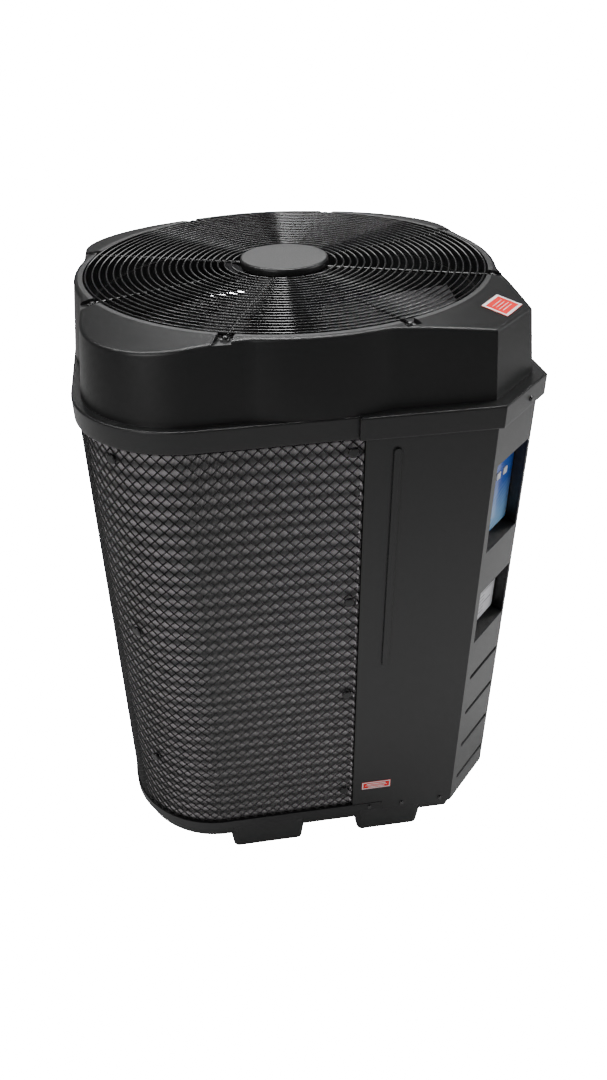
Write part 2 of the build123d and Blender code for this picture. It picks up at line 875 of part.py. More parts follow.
for number, (run, height) in enumerate(key_places, start=1):
    with BuildPart() as key:
        with BuildSketch(keypad_front.offset(key_proud)):
            with Locations((run, height)):
                RectangleRounded(key_size, key_size, 2)
        extrude(amount=-(key_proud + key_shaft - key_travel - key_clearance))
        fillet(faces().sort_by(Axis((0, 0, 0), tuple(outward)))[-1].edges(), 0.8)
    key.part.label = f"key_{number}"
    export_step(key.part, f"parts/key_{number}.step")

with BuildPart() as data_plate:
    plate_low = plate_window[0] + sill_rise + keypad_gap
    plate_high = plate_window[1] - keypad_gap
    plate_back = Plane(
        origin=face_origin - outward * plate_depth, x_dir=along, z_dir=outward
    )
    with BuildSketch(plate_back):
        with Locations((window_middle, (plate_low + plate_high) / 2)):
            RectangleRounded(
                window_width - 2 * plate_margin, plate_high - plate_low - plate_margin, 6
            )
    extrude(amount=label_wall)
data_plate.part.label = "data_plate"
export_step(data_plate.part, "parts/data_plate.step")

with BuildPart() as panel_sticker:
    with BuildSketch(front_face):
        with Locations((panel_sticker_x, panel_sticker_z)):
            RectangleRounded(panel_sticker_size[0], panel_sticker_size[1], 1.5)
    extrude(amount=sticker_wall)
panel_sticker.part.label = "panel_sticker"
export_step(panel_sticker.part, "parts/panel_sticker.step")

with BuildPart() as lobe_sticker:
    # Lies on the sloping plate over the service corner
    sticker_drop = plate_slope * (lobe_sticker_r - plate_start_r)
    corner_out = (cos(radians(lobe_sticker_angle)), sin(radians(lobe_sticker_angle)))
    plate_normal = Vector(
        plate_slope * corner_out[0], plate_slope * corner_out[1], 1
    ).normalized()
    plate_plane = Plane(
        origin=(
            lobe_sticker_r * corner_out[0],
            lobe_sticker_r * corner_out[1],
            top_z - sticker_drop,
        ),
        x_dir=(-corner_out[1], corner_out[0], 0),
        z_dir=plate_normal,
    )
    with BuildSketch(plate_plane.offset(fit_gap / 2)):
        RectangleRounded(lobe_sticker_size[0], lobe_sticker_size[1], 2)
    extrude(amount=sticker_wall)
    add(above_plates(-fit_gap / 4), mode=Mode.INTERSECT)
lobe_sticker.part.label = "lobe_sticker"
export_step(lobe_sticker.part, "parts/lobe_sticker.step")

# ---- Fan guard -------------------------------------------------------------------------
ring_pitch = (ring_last_r - ring_first_r) / (ring_count - 1)
ring_radii = [ring_first_r + i * ring_pitch for i in range(ring_count)]

with BuildPart() as guard_rings:
    for radius in ring_radii:
        with BuildSketch(Plane.XZ):
            with Locations((radius, top_z)):
                Circle(wire_r)
        revolve(axis=Axis.Z)
guard_rings.part.label = "guard_rings"
export_step(guard_rings.part, "parts/guard_rings.step")

rod_outer_r = clip_r - clip_size / 2 - fit_gap
with BuildPart() as guard_rods:
    for place in at_clips(rod_inner_r, rod_z):
        with BuildSketch(Plane(place) * Plane.YZ):
            Circle(rod_r)
        extrude(amount=rod_outer_r - rod_inner_r)
guard_rods.part.label = "guard_rods"
export_step(guard_rods.part, "parts/guard_rods.step")

with BuildPart() as guard_clips:
    with Locations(at_clips(clip_r, notch_z)):
        Box(clip_size, clip_size, clip_wall, align=(Align.CENTER, Align.CENTER, Align.MIN))
        Cylinder(screw_r + screw_clearance, 4 * clip_wall, mode=Mode.SUBTRACT)
guard_clips.part.label = "guard_clips"
export_step(guard_clips.part, "parts/guard_clips.step")

with BuildPart() as clip_screws:
    clip_screw = domed_pin(screw_head_r, screw_head_height, screw_r, clip_wall + notch_floor_wall - 1)
    add(pins_at(clip_screw, at_clips(clip_r, notch_z + clip_wall)))
clip_screws.part.label = "clip_screws"
export_step(clip_screws.part, "parts/clip_screws.step")

cap_base = rod_z + rod_r + weld_gap
with BuildPart() as hub_cap:
    add(upright(0, 0, cap_base, cap_r, cap_z - cap_base))
    fillet(faces().sort_by(Axis.Z)[-1].edges(), cap_edge)
    add(upright(0, 0, cap_base - 1, cap_r - cap_wall, cap_z - cap_wall - cap_base + 1), mode=Mode.SUBTRACT)
hub_cap.part.label = "hub_cap"
export_step(hub_cap.part, "parts/hub_cap.step")

plate_top = rod_z - rod_r - weld_gap
motor_top = plate_top - hub_plate_wall
with BuildPart() as hub_plate:
    add(upright(0, 0, motor_top, cap_r - cap_wall, hub_plate_wall))
hub_plate.part.label = "hub_plate"
export_step(hub_plate.part, "parts/hub_plate.step")

with BuildPart() as hub_studs:
    with PolarLocations(hub_stud_r, 4):
        Cylinder(
            screw_r,
            cap_z - cap_wall - plate_top,
            align=(Align.CENTER, Align.CENTER, Align.MIN),
        )
hub_studs.part.locate(Location((0, 0, plate_top)))
hub_studs.part.label = "hub_studs"
export_step(hub_studs.part, "parts/hub_studs.step")

# ---- Fan -------------------------------------------------------------------------------
motor_bottom = motor_top - motor_height
hub_top = motor_bottom - fan_below_motor
hub_bottom = hub_top - hub_height
blade_z = (hub_top + hub_bottom) / 2
throat_r = fan_opening_r - throat_gap
blade_r = throat_r - blade_tip_gap
shaft_bottom = hub_bottom - 6
shaft_in_motor = motor_height / 2

with BuildPart() as fan_motor:
    add(upright(0, 0, motor_bottom, motor_r, motor_height))
    fillet(faces().sort_by(Axis.Z)[0].edges(), 8)
    # Cooling grooves round the can
    for i in range(motor_groove_count):
        groove_z = motor_bottom + motor_groove_first + i * motor_groove_pitch
        with BuildSketch(Plane.XZ):
            with Locations((motor_r, groove_z)):
                Rectangle(5, 3)
        revolve(axis=Axis.Z, mode=Mode.SUBTRACT)
    add(
        upright(0, 0, motor_bottom - 1, shaft_r + shaft_clearance, shaft_in_motor + 2),
        mode=Mode.SUBTRACT,
    )
fan_motor.part.label = "fan_motor"
export_step(fan_motor.part, "parts/fan_motor.step")

with BuildPart() as motor_shaft:
    add(upright(0, 0, shaft_bottom, shaft_r, motor_bottom + shaft_in_motor - shaft_bottom))
motor_shaft.part.label = "motor_shaft"
export_step(motor_shaft.part, "parts/motor_shaft.step")

with BuildPart() as fan_bushing:
    add(upright(0, 0, hub_bottom, bushing_r, hub_height))
    add(upright(0, 0, hub_bottom - 1, shaft_r + 0.01, hub_height + 2), mode=Mode.SUBTRACT)
fan_bushing.part.label = "fan_bushing"
export_step(fan_bushing.part, "parts/fan_bushing.step")

with BuildPart() as fan_rotor:
    for i in range(blade_count):
        turn = i * 360 / blade_count
        level = Location((0, 0, blade_z), (0, 0, turn))
        with BuildSketch(Plane(level * Location((0, 0, 0), (blade_pitch, 0, 0)))):
            with BuildLine():
                Line((hub_r * 0.8, -blade_root_chord / 2), (hub_r * 0.8, blade_root_chord / 2))
                Spline(
                    (hub_r * 0.8, blade_root_chord / 2),
                    (blade_r * 0.55, blade_tip_chord * 0.36),
                    (blade_r + 20, blade_tip_chord * 0.5),
                )
                Line(
                    (blade_r + 20, blade_tip_chord * 0.5),
                    (blade_r + 20, -blade_tip_chord * 0.5),
                )
                Spline(
                    (blade_r + 20, -blade_tip_chord * 0.5),
                    (blade_r * 0.55, -blade_tip_chord * 0.48),
                    (hub_r * 0.8, -blade_root_chord / 2),
                )
            make_face()
        extrude(amount=blade_wall / 2, both=True)
    add(upright(0, 0, hub_bottom - drum_height, blade_r, 3 * drum_height), mode=Mode.INTERSECT)
    add(upright(0, 0, hub_bottom, hub_r, hub_height))
    add(upright(0, 0, hub_bottom - 1, bushing_r + 0.01, hub_height + 2), mode=Mode.SUBTRACT)
fan_rotor.part.label = "fan_rotor"
export_step(fan_rotor.part, "parts/fan_rotor.step")

with BuildPart() as fan_throat:
    throat_bottom = flange_z + 1
    throat_top = top_z - collar_height
    with BuildSketch(Plane.XZ):
        with BuildLine():
            Polyline(
                (throat_r, throat_top),
                (throat_r, throat_bottom + throat_flare),
                (throat_r + throat_flare, throat_bottom),
                (throat_r + throat_flare + throat_wall, throat_bottom + throat_wall),
                (throat_r + throat_wall, throat_bottom + throat_flare + throat_wall),
                (throat_r + throat_wall, throat_top - throat_wall),
                (fan_opening_r + collar_wall, throat_top - throat_wall),
                (fan_opening_r + collar_wall, throat_top),
                close=True,
            )
        make_face()
    revolve(axis=Axis.Z)
    # The flare is notched round the posts
    notch_size = post_size + 2 * post_clearance
    with Locations([(x, y, throat_bottom) for x, y in post_places]):
        Box(
            notch_size,
            notch_size,
            2 * (deck_z + post_height + post_clearance - throat_bottom),
            mode=Mode.SUBTRACT,
        )
fan_throat.part.label = "fan_throat"
export_step(fan_throat.part, "parts/fan_throat.step")

# ---- Outdoor coil ------------------------------------------------------------------
coil_outer = body_half - coil_inset
coil_inner = coil_outer - coil_depth

with BuildPart() as coil_fins:
    add(body_band(coil_inset, coil_inset + coil_depth, deck_z, fins_z))
    add(corner_block(coil_front_end, coil_side_end, deck_z, fins_z), mode=Mode.SUBTRACT)
coil_fins.part.label = "coil_fins"
export_step(coil_fins.part, "parts/coil_fins.step")

with BuildPart() as tube_sheets:
    sheet_x = (coil_front_end, coil_front_end + tube_sheet_wall)
    sheet_y = (coil_side_end - tube_sheet_wall, coil_side_end)
    sheet_in, sheet_out = coil_inner - tube_sheet_lip, coil_outer + tube_sheet_lip
    add(block(sheet_x, (-sheet_out, -sheet_in), (deck_z, fins_z)))
    add(block((sheet_in, sheet_out), sheet_y, (deck_z, fins_z)))
tube_sheets.part.label = "tube_sheets"
export_step(tube_sheets.part, "parts/tube_sheets.step")

with BuildPart() as return_bend:
    # One hairpin bend: two short legs and a half circle, opening towards -X
    with BuildLine() as bend_route:
        Line((0, 0, 0), (bend_leg, 0, 0))
        ThreePointArc(
            (bend_leg, 0, 0),
            (bend_leg + tube_pitch / 2, 0, tube_pitch / 2),
            (bend_leg, 0, tube_pitch),
        )
        Line((bend_leg, 0, tube_pitch), (0, 0, tube_pitch))
    with BuildSketch(Plane.YZ):
        Circle(tube_r)
    sweep(path=bend_route.line)

row_pitch = coil_depth / tube_rows
row_offsets = [coil_inner + (i + 0.5) * row_pitch for i in range(tube_rows)]
bend_heights = [deck_z + tube_pitch * (1 + 2 * i) for i in range(bend_count)]
with BuildPart() as return_bends:
    for offset in row_offsets:
        for height in bend_heights:
            add(return_bend.part.located(Location((sheet_x[1], -offset, height))))
            add(return_bend.part.located(Location((offset, sheet_y[0], height), (0, 0, -90))))
return_bends.part.label = "return_bends"
export_step(return_bends.part, "parts/return_bends.step")

# ---- Water heat exchanger and unions -------------------------------------------------
exchanger_bottom = deck_z + stand_height

with BuildPart() as exchanger_stand:
    add(upright(exchanger_x, recess_y, deck_z, exchanger_r - 10, stand_height))
    add(
        upright(exchanger_x, recess_y, deck_z - 1, exchanger_r - 20, stand_height + 2),
        mode=Mode.SUBTRACT,
    )
exchanger_stand.part.label = "exchanger_stand"
export_step(exchanger_stand.part, "parts/exchanger_stand.step")

with BuildPart() as exchanger_shell:
    add(upright(exchanger_x, recess_y, exchanger_bottom + exchanger_cap, exchanger_r, exchanger_height))
exchanger_shell.part.label = "exchanger_shell"
export_step(exchanger_shell.part, "parts/exchanger_shell.step")

with BuildPart() as exchanger_caps:
    for height in (exchanger_bottom, exchanger_bottom + exchanger_cap + exchanger_height):
        add(upright(exchanger_x, recess_y, height, exchanger_r + 4, exchanger_cap))
    fillet(edges().filter_by(GeomType.CIRCLE), 3)
exchanger_caps.part.label = "exchanger_caps"
export_step(exchanger_caps.part, "parts/exchanger_caps.step")

pipe_end = recess_back + pipe_stub
gasket_end = pipe_end + gasket_wall
tail_end = gasket_end + union_flange_wall + tail_neck + socket_length

with BuildPart() as water_pipes:
    # From the exchanger shell to the union faces
    for port_z in port_heights:
        add(sideways(exchanger_x, recess_y, port_z, pipe_r, pipe_end - exchanger_x))
        flange_start = pipe_end - union_flange_wall
        add(sideways(flange_start, recess_y, port_z, union_flange_r, union_flange_wall))
        add(sideways(exchanger_x, recess_y, port_z, pipe_bore_r, pipe_end), mode=Mode.SUBTRACT)
    add(upright(exchanger_x, recess_y, 0, exchanger_r + fit_gap, ledge_z), mode=Mode.SUBTRACT)
water_pipes.part.label = "water_pipes"
export_step(water_pipes.part, "parts/water_pipes.step")

with BuildPart() as union_tails:
    # Union tails with sockets for the pool pipes
    for port_z in port_heights:
        add(sideways(gasket_end, recess_y, port_z, union_flange_r, union_flange_wall))
        add(sideways(gasket_end, recess_y, port_z, tail_r, tail_end - gasket_end))
        add(sideways(gasket_end, recess_y, port_z, pipe_bore_r, tail_end), mode=Mode.SUBTRACT)
        socket_start = tail_end - socket_length
        add(sideways(socket_start, recess_y, port_z, socket_r, tail_end), mode=Mode.SUBTRACT)
union_tails.part.label = "union_tails"
export_step(union_tails.part, "parts/union_tails.step")

nut_start = pipe_end - union_flange_wall - 2
nut_shoulder = gasket_end + union_flange_wall + fit_gap
nut_length = nut_shoulder + nut_lip - nut_start
with BuildPart() as union_nuts:
    # Ribbed nuts that draw the tails onto the pipe flanges
    for port_z in port_heights:
        end_plane = Plane(origin=(nut_start, recess_y, port_z), x_dir=(0, 1, 0), z_dir=(1, 0, 0))
        add(sideways(nut_start, recess_y, port_z, nut_r, nut_length))
        with BuildSketch(end_plane):
            with PolarLocations(nut_r, nut_rib_count):
                Rectangle(2 * nut_rib, 2 * nut_rib)
        extrude(amount=nut_length)
        add(
            sideways(
                nut_start - 1,
                recess_y,
                port_z,
                union_flange_r + fit_gap,
                nut_shoulder - nut_start + 1,
            ),
            mode=Mode.SUBTRACT,
        )
        add(sideways(nut_start, recess_y, port_z, tail_r + fit_gap, reach), mode=Mode.SUBTRACT)
union_nuts.part.label = "union_nuts"
export_step(union_nuts.part, "parts/union_nuts.step")

with BuildPart() as union_gaskets:
    for port_z in port_heights:
        add(sideways(pipe_end, recess_y, port_z, union_flange_r - 1, gasket_wall))
        add(sideways(pipe_end - 1, recess_y, port_z, pipe_bore_r, 3 * gasket_wall), mode=Mode.SUBTRACT)
union_gaskets.part.label = "union_gaskets"
export_step(union_gaskets.part, "parts/union_gaskets.step")

with BuildPart() as pressure_switch:
    add(upright(switch_x, recess_y, inlet_z, 6, pipe_r + 14))
    add(upright(switch_x, recess_y, inlet_z + pipe_r + 12, 13, 26))
    add(
        sideways(0, recess_y, inlet_z, pipe_r + fit_gap, reach),
        mode=Mode.SUBTRACT,
    )
pressure_switch.part.label = "pressure_switch"
export_step(pressure_switch.part, "parts/pressure_switch.step")

# ---- Refrigerant side ------------------------------------------------------------------
mount_offset = foot_bolt_spacing / 2
mount_places = [
    (compressor_x + sx * mount_offset, compressor_y + sy * mount_offset)
    for sx in (-1, 1)
    for sy in (-1, 1)
]
plate_z = deck_z + grommet_height
shell_z = plate_z + foot_plate_wall

with BuildPart() as compressor_grommets:
    for x, y in mount_places:
        add(upright(x, y, deck_z, grommet_r, grommet_height))
        add(upright(x, y, deck_z - 1, bolt_r + bolt_clearance, grommet_height + 2), mode=Mode.SUBTRACT)
compressor_grommets.part.label = "compressor_grommets"
export_step(compressor_grommets.part, "parts/compressor_grommets.step")

with BuildPart() as compressor_plate:
    with BuildSketch(Plane.XY.offset(plate_z)):
        with Locations((compressor_x, compressor_y)):
            RectangleRounded(foot_plate, foot_plate, 18)
        with Locations(mount_places):
            Circle(bolt_r + bolt_clearance, mode=Mode.SUBTRACT)
    extrude(amount=foot_plate_wall)
compressor_plate.part.label = "compressor_plate"
export_step(compressor_plate.part, "parts/compressor_plate.step")

with BuildPart() as compressor_bolts:
    for x, y in mount_places:
        add(upright(x, y, deck_z + 1, bolt_r, shell_z - deck_z - 1))
        with BuildSketch(Plane.XY.offset(shell_z)):
            with Locations((x, y)):
                RegularPolygon(2 * bolt_r, 6)
        extrude(amount=6)
compressor_bolts.part.label = "compressor_bolts"
export_step(compressor_bolts.part, "parts/compressor_bolts.step")

with BuildPart() as compressor_shell:
    add(upright(compressor_x, compressor_y, shell_z, compressor_r, compressor_height))
    fillet(faces().sort_by(Axis.Z)[-1].edges(), 30)
    fillet(faces().sort_by(Axis.Z)[0].edges(), 12)
compressor_shell.part.label = "compressor_shell"
export_step(compressor_shell.part, "parts/compressor_shell.step")

with BuildPart() as terminal_cover:
    cover_z = shell_z + compressor_height * 0.6
    add(
        block(
            (compressor_x - 28, compressor_x + 28),
            (compressor_y - compressor_r - 34, compressor_y),
            (cover_z, cover_z + 66),
        )
    )
    add(
        upright(compressor_x, compressor_y, deck_z, compressor_r + fit_gap, ledge_z),
        mode=Mode.SUBTRACT,
    )
terminal_cover.part.label = "terminal_cover"
export_step(terminal_cover.part, "parts/terminal_cover.step")

accumulator_z = deck_z + 26
with BuildPart() as accumulator:
    add(upright(compressor_x, accumulator_y, accumulator_z, accumulator_r, accumulator_height))
    fillet(faces().sort_by(Axis.Z)[-1].edges(), 18)
    fillet(faces().sort_by(Axis.Z)[0].edges(), 12)
    add(upright(compressor_x, accumulator_y, deck_z, 12, 40))
accumulator.part.label = "accumulator"
export_step(accumulator.part, "parts/accumulator.step")

with BuildPart() as reversing_valve:
    add(sideways(valve_x[0], valve_y, valve_z, valve_r, valve_x[1] - valve_x[0]))
    fillet(edges().filter_by(GeomType.CIRCLE), 4)
    valve_middle = (valve_x[0] + valve_x[1]) / 2
    add(upright(valve_middle, valve_y, valve_z - valve_stub, line_r + 1.5, valve_stub))
    for i in (-1, 0, 1):
        add(upright(valve_middle + i * 30, valve_y, valve_z, line_r + 1.5, valve_stub))
reversing_valve.part.label = "reversing_valve"
export_step(reversing_valve.part, "parts/reversing_valve.step")

with BuildPart() as expansion_valve:
    add(upright(expansion_x, expansion_y, deck_z, 8, 190))
    add(upright(expansion_x, expansion_y, deck_z + 190, 15, 44))
    add(upright(expansion_x, expansion_y, deck_z + 234, 24, 10))
expansion_valve.part.label = "expansion_valve"
export_step(expansion_valve.part, "parts/expansion_valve.step")

with BuildPart() as filter_drier:
    add(upright(drier_x, drier_y, deck_z + 28, drier_r, drier_height))
    fillet(edges().filter_by(GeomType.CIRCLE), 9)
    add(upright(drier_x, drier_y, deck_z, 10, 40))
filter_drier.part.label = "filter_drier"
export_step(filter_drier.part, "parts/filter_drier.step")

shell_top = shell_z + compressor_height
accumulator_top = accumulator_z + accumulator_height
drier_top = deck_z + 28 + drier_height
discharge_x = compressor_x + 25
suction_x = compressor_x - 25

with BuildPart() as discharge_line:
    add(
        refrigerant_line(
            [
                (discharge_x, compressor_y, shell_top),
                (discharge_x, compressor_y, shell_top + 80),
                (discharge_x, valve_y, shell_top + 80),
                (valve_middle, valve_y, shell_top + 80),
                (valve_middle, valve_y, valve_z - valve_stub),
            ]
        )
    )
discharge_line.part.label = "discharge_line"
export_step(discharge_line.part, "parts/discharge_line.step")

with BuildPart() as suction_line:
    add(
        refrigerant_line(
            [
                (compressor_x, accumulator_y, accumulator_top),
                (compressor_x, accumulator_y, accumulator_top + 110),
                (suction_x, compressor_y, accumulator_top + 110),
                (suction_x, compressor_y, shell_top),
            ]
        )
    )
suction_line.part.label = "suction_line"
export_step(suction_line.part, "parts/suction_line.step")

with BuildPart() as liquid_line:
    # The header that feeds the coil, and the pipe from the drier to it
    add(upright(header_x, header_y, header_z[0], header_r, header_z[1] - header_z[0]))
    fillet(edges().filter_by(GeomType.CIRCLE), header_edge)
    add(
        refrigerant_line(
            [
                (drier_x, drier_y, drier_top),
                (drier_x, drier_y, liquid_top),
                (drier_x, header_y, liquid_top),
                (drier_x, header_y, header_z[1] + 84),
                (header_x, header_y, header_z[1] + 84),
                (header_x, header_y, header_z[1]),
            ]
        )
    )
liquid_line.part.label = "liquid_line"
export_step(liquid_line.part, "parts/liquid_line.step")

# ---- Electrical box ----------------------------------------------------------------------
with BuildPart() as electrical_box:
    add(block(box_x, box_y, box_z))
    add(
        block(
            (box_x[0] + box_wall, box_x[1] - box_wall),
            (box_y[0] - 1, box_y[1] - box_wall),
            (box_z[0] + box_wall, box_z[1] - box_wall),
        ),
        mode=Mode.SUBTRACT,
    )
electrical_box.part.label = "electrical_box"
export_step(electrical_box.part, "parts/electrical_box.step")

with BuildPart() as electrical_cover:
    add(block(box_x, (box_y[0] - 2, box_y[0]), box_z))
electrical_cover.part.label = "electrical_cover"
export_step(electrical_cover.part, "parts/electrical_cover.step")

wall_y = box_y[1] - box_wall
with BuildPart() as contactor:
    add(block((box_x[0] + 12, box_x[0] + 70), (wall_y - 62, wall_y), (box_z[0] + 30, box_z[0] + 98)))
    add(
        block(
            (box_x[0] + 20, box_x[0] + 62),
            (wall_y - 72, wall_y - 62),
            (box_z[0] + 42, box_z[0] + 86),
        )
    )
contactor.part.label = "contactor"
export_step(contactor.part, "parts/contactor.step")

with BuildPart() as run_capacitor:
    capacitor_x = box_x[1] - 34
    add(upright(capacitor_x, wall_y - 30, box_z[0] + 20, 25, 96))
    fillet(edges().filter_by(GeomType.CIRCLE), 3)
    with Locations((capacitor_x, wall_y - 30, box_z[0] + 116)):
        with GridLocations(16, 0, 2, 1):
            Box(6, 1, 10, align=(Align.CENTER, Align.CENTER, Align.MIN))
run_capacitor.part.label = "run_capacitor"
export_step(run_capacitor.part, "parts/run_capacitor.step")

with BuildPart() as terminal_block:
    terminal_z = box_z[0] + 140
    add(block((box_x[0] + 14, box_x[1] - 14), (wall_y - 24, wall_y), (terminal_z, terminal_z + 34)))
    with Locations(((box_x[0] + box_x[1]) / 2, wall_y - 24, terminal_z + 17)):
        with GridLocations(18, 0, 6, 1):
            Box(12, 12, 24, mode=Mode.SUBTRACT)
terminal_block.part.label = "terminal_block"
export_step(terminal_block.part, "parts/terminal_block.step")

with BuildPart() as control_board:
    board_z = (box_z[0] + 196, box_z[1] - 14)
    board_x = (box_x[0] + 12, box_x[1] - 12)
    add(block(board_x, (wall_y - 10, wall_y - 8.4), board_z))
    # Stand-offs and the larger parts on the board
    for x in (board_x[0] + 6, board_x[1] - 6):
        for z in (board_z[0] + 6, board_z[1] - 6):
            add(block((x - 3, x + 3), (wall_y - 8.4, wall_y), (z - 3, z + 3)))
    for i in range(4):
        relay_x = board_x[0] + 14 + i * 26
        add(block((relay_x, relay_x + 19), (wall_y - 26, wall_y - 10), (board_z[0] + 14, board_z[0] + 30)))
    add(
        block(
            (board_x[0] + 30, board_x[0] + 76),
            (wall_y - 36, wall_y - 10),
            (board_z[1] - 62, board_z[1] - 22),
        )
    )
control_board.part.label = "control_board"
export_step(control_board.part, "parts/control_board.step")
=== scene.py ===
# %% [markdown]
# # A pool heat pump with its fan on top
#
# The cabinet is moulded black plastic. A netting keeps leaves off the coil, a wire guard covers
# the fan, and one flat corner carries the controls. The CAD model gives every hard piece its
# exact shape and place, so the work here is the netting, the fins, the prints and the finishes.
# All lengths are in metres, and Z = 0 is the ground under the feet.

# %% Load the fixed frame
from math import cos, floor, pi, radians, sin
import bmesh
import bpy
from mathutils import Matrix, Vector


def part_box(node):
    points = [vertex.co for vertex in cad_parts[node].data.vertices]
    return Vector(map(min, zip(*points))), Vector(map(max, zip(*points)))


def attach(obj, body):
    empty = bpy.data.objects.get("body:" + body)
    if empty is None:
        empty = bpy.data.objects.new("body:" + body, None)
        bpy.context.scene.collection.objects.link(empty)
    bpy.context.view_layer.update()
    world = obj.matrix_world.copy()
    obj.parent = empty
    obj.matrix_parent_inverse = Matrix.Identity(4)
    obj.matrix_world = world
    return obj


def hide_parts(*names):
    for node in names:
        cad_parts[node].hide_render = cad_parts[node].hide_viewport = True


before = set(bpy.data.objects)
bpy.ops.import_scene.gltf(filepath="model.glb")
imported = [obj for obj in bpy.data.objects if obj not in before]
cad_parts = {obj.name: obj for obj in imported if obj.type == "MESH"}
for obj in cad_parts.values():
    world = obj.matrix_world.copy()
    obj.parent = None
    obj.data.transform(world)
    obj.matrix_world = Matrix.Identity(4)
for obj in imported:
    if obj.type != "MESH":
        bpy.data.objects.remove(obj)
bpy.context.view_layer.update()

# %% [markdown]
# ## Small helpers
#
# Operators act on whatever is selected. So every piece starts with nothing selected, and ends
# with its place applied to its mesh, its shading set, and its body and finish declared.

# %% Helpers for pieces
MM = 0.001
CLOSE = 0.001 * MM      # two places nearer than this are the same place


def start():
    """Leaves edit mode and selects nothing."""
    if bpy.context.object and bpy.context.object.mode != "OBJECT":
        bpy.ops.object.mode_set(mode="OBJECT")
    bpy.ops.object.select_all(action="DESELECT")


def apply_modifier(piece, kind, **settings):
    """Adds a modifier, sets it and applies it."""
    modifier = piece.modifiers.new(kind.title(), kind)
    for key, value in settings.items():
        setattr(modifier, key, value)
    bpy.ops.object.modifier_apply(modifier=modifier.name)


def settle(piece, name, material, smooth=40):
    """Names a finished piece, applies its place, and gives it a material and a body."""
    start()
    piece.select_set(True)
    bpy.context.view_layer.objects.active = piece
    bpy.ops.object.transform_apply(location=True, rotation=True, scale=True)
    bpy.ops.object.shade_smooth_by_angle(angle=radians(smooth))
    piece.name = name
    piece.data.name = name
    piece.data.materials.clear()
    piece.data.materials.append(material)
    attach(piece, "cabinet")
    print(f"{name}: {len(piece.data.polygons)} faces")
    return piece


# %% [markdown]
# ## Surface effects that several finishes share
#
# Moulded plastic, paint and metal all have a fine grain, and their gloss and colour drift a
# little over a large part. One node group makes that: it puts out a colour, a roughness and a
# height. The shader itself stays in each material, because only values can leave a group.

# %% The surface group
def group_socket(group, name, direction, kind, value=None):
    """Adds a socket to a node group."""
    socket = group.interface.new_socket(name, in_out=direction, socket_type=kind)
    if value is not None:
        socket.default_value = value


def make_surface_group():
    """Fine grain plus a slow drift of colour and gloss."""
    group = bpy.data.node_groups.new("surface_grain", "ShaderNodeTree")
    group_socket(group, "Vector", "INPUT", "NodeSocketVector")
    group_socket(group, "Colour", "INPUT", "NodeSocketColor", (0.03, 0.03, 0.03, 1))
    group_socket(group, "Drift Colour", "INPUT", "NodeSocketColor", (0.04, 0.04, 0.04, 1))
    group_socket(group, "Drift Scale", "INPUT", "NodeSocketFloat", 6.0)
    group_socket(group, "Grain Scale", "INPUT", "NodeSocketFloat", 900.0)
    group_socket(group, "Gloss Low", "INPUT", "NodeSocketFloat", 0.35)
    group_socket(group, "Gloss High", "INPUT", "NodeSocketFloat", 0.5)
    group_socket(group, "Colour", "OUTPUT", "NodeSocketColor")
    group_socket(group, "Roughness", "OUTPUT", "NodeSocketFloat")
    group_socket(group, "Height", "OUTPUT", "NodeSocketFloat")
    nodes, links = group.nodes, group.links
    inside = nodes.new("NodeGroupInput")
    outside = nodes.new("NodeGroupOutput")
    drift = nodes.new("ShaderNodeTexNoise")
    drift.inputs["Detail"].default_value = 3
    grain = nodes.new("ShaderNodeTexNoise")
    grain.inputs["Detail"].default_value = 2
    for noise, scale in ((drift, "Drift Scale"), (grain, "Grain Scale")):
        links.new(inside.outputs["Vector"], noise.inputs["Vector"])
        links.new(inside.outputs[scale], noise.inputs["Scale"])
    mix = nodes.new("ShaderNodeMix")
    mix.data_type = "RGBA"
    links.new(drift.outputs["Fac"], mix.inputs["Factor"])
    links.new(inside.outputs["Colour"], mix.inputs["A"])
    links.new(inside.outputs["Drift Colour"], mix.inputs["B"])
    links.new(mix.outputs["Result"], outside.inputs["Colour"])
    gloss = nodes.new("ShaderNodeMapRange")
    links.new(drift.outputs["Fac"], gloss.inputs["Value"])
    links.new(inside.outputs["Gloss Low"], gloss.inputs["To Min"])
    links.new(inside.outputs["Gloss High"], gloss.inputs["To Max"])
    links.new(gloss.outputs["Result"], outside.inputs["Roughness"])
    links.new(grain.outputs["Fac"], outside.inputs["Height"])
    return group


surface_group = make_surface_group()
print("group", surface_group.name, "has", len(surface_group.nodes), "nodes")
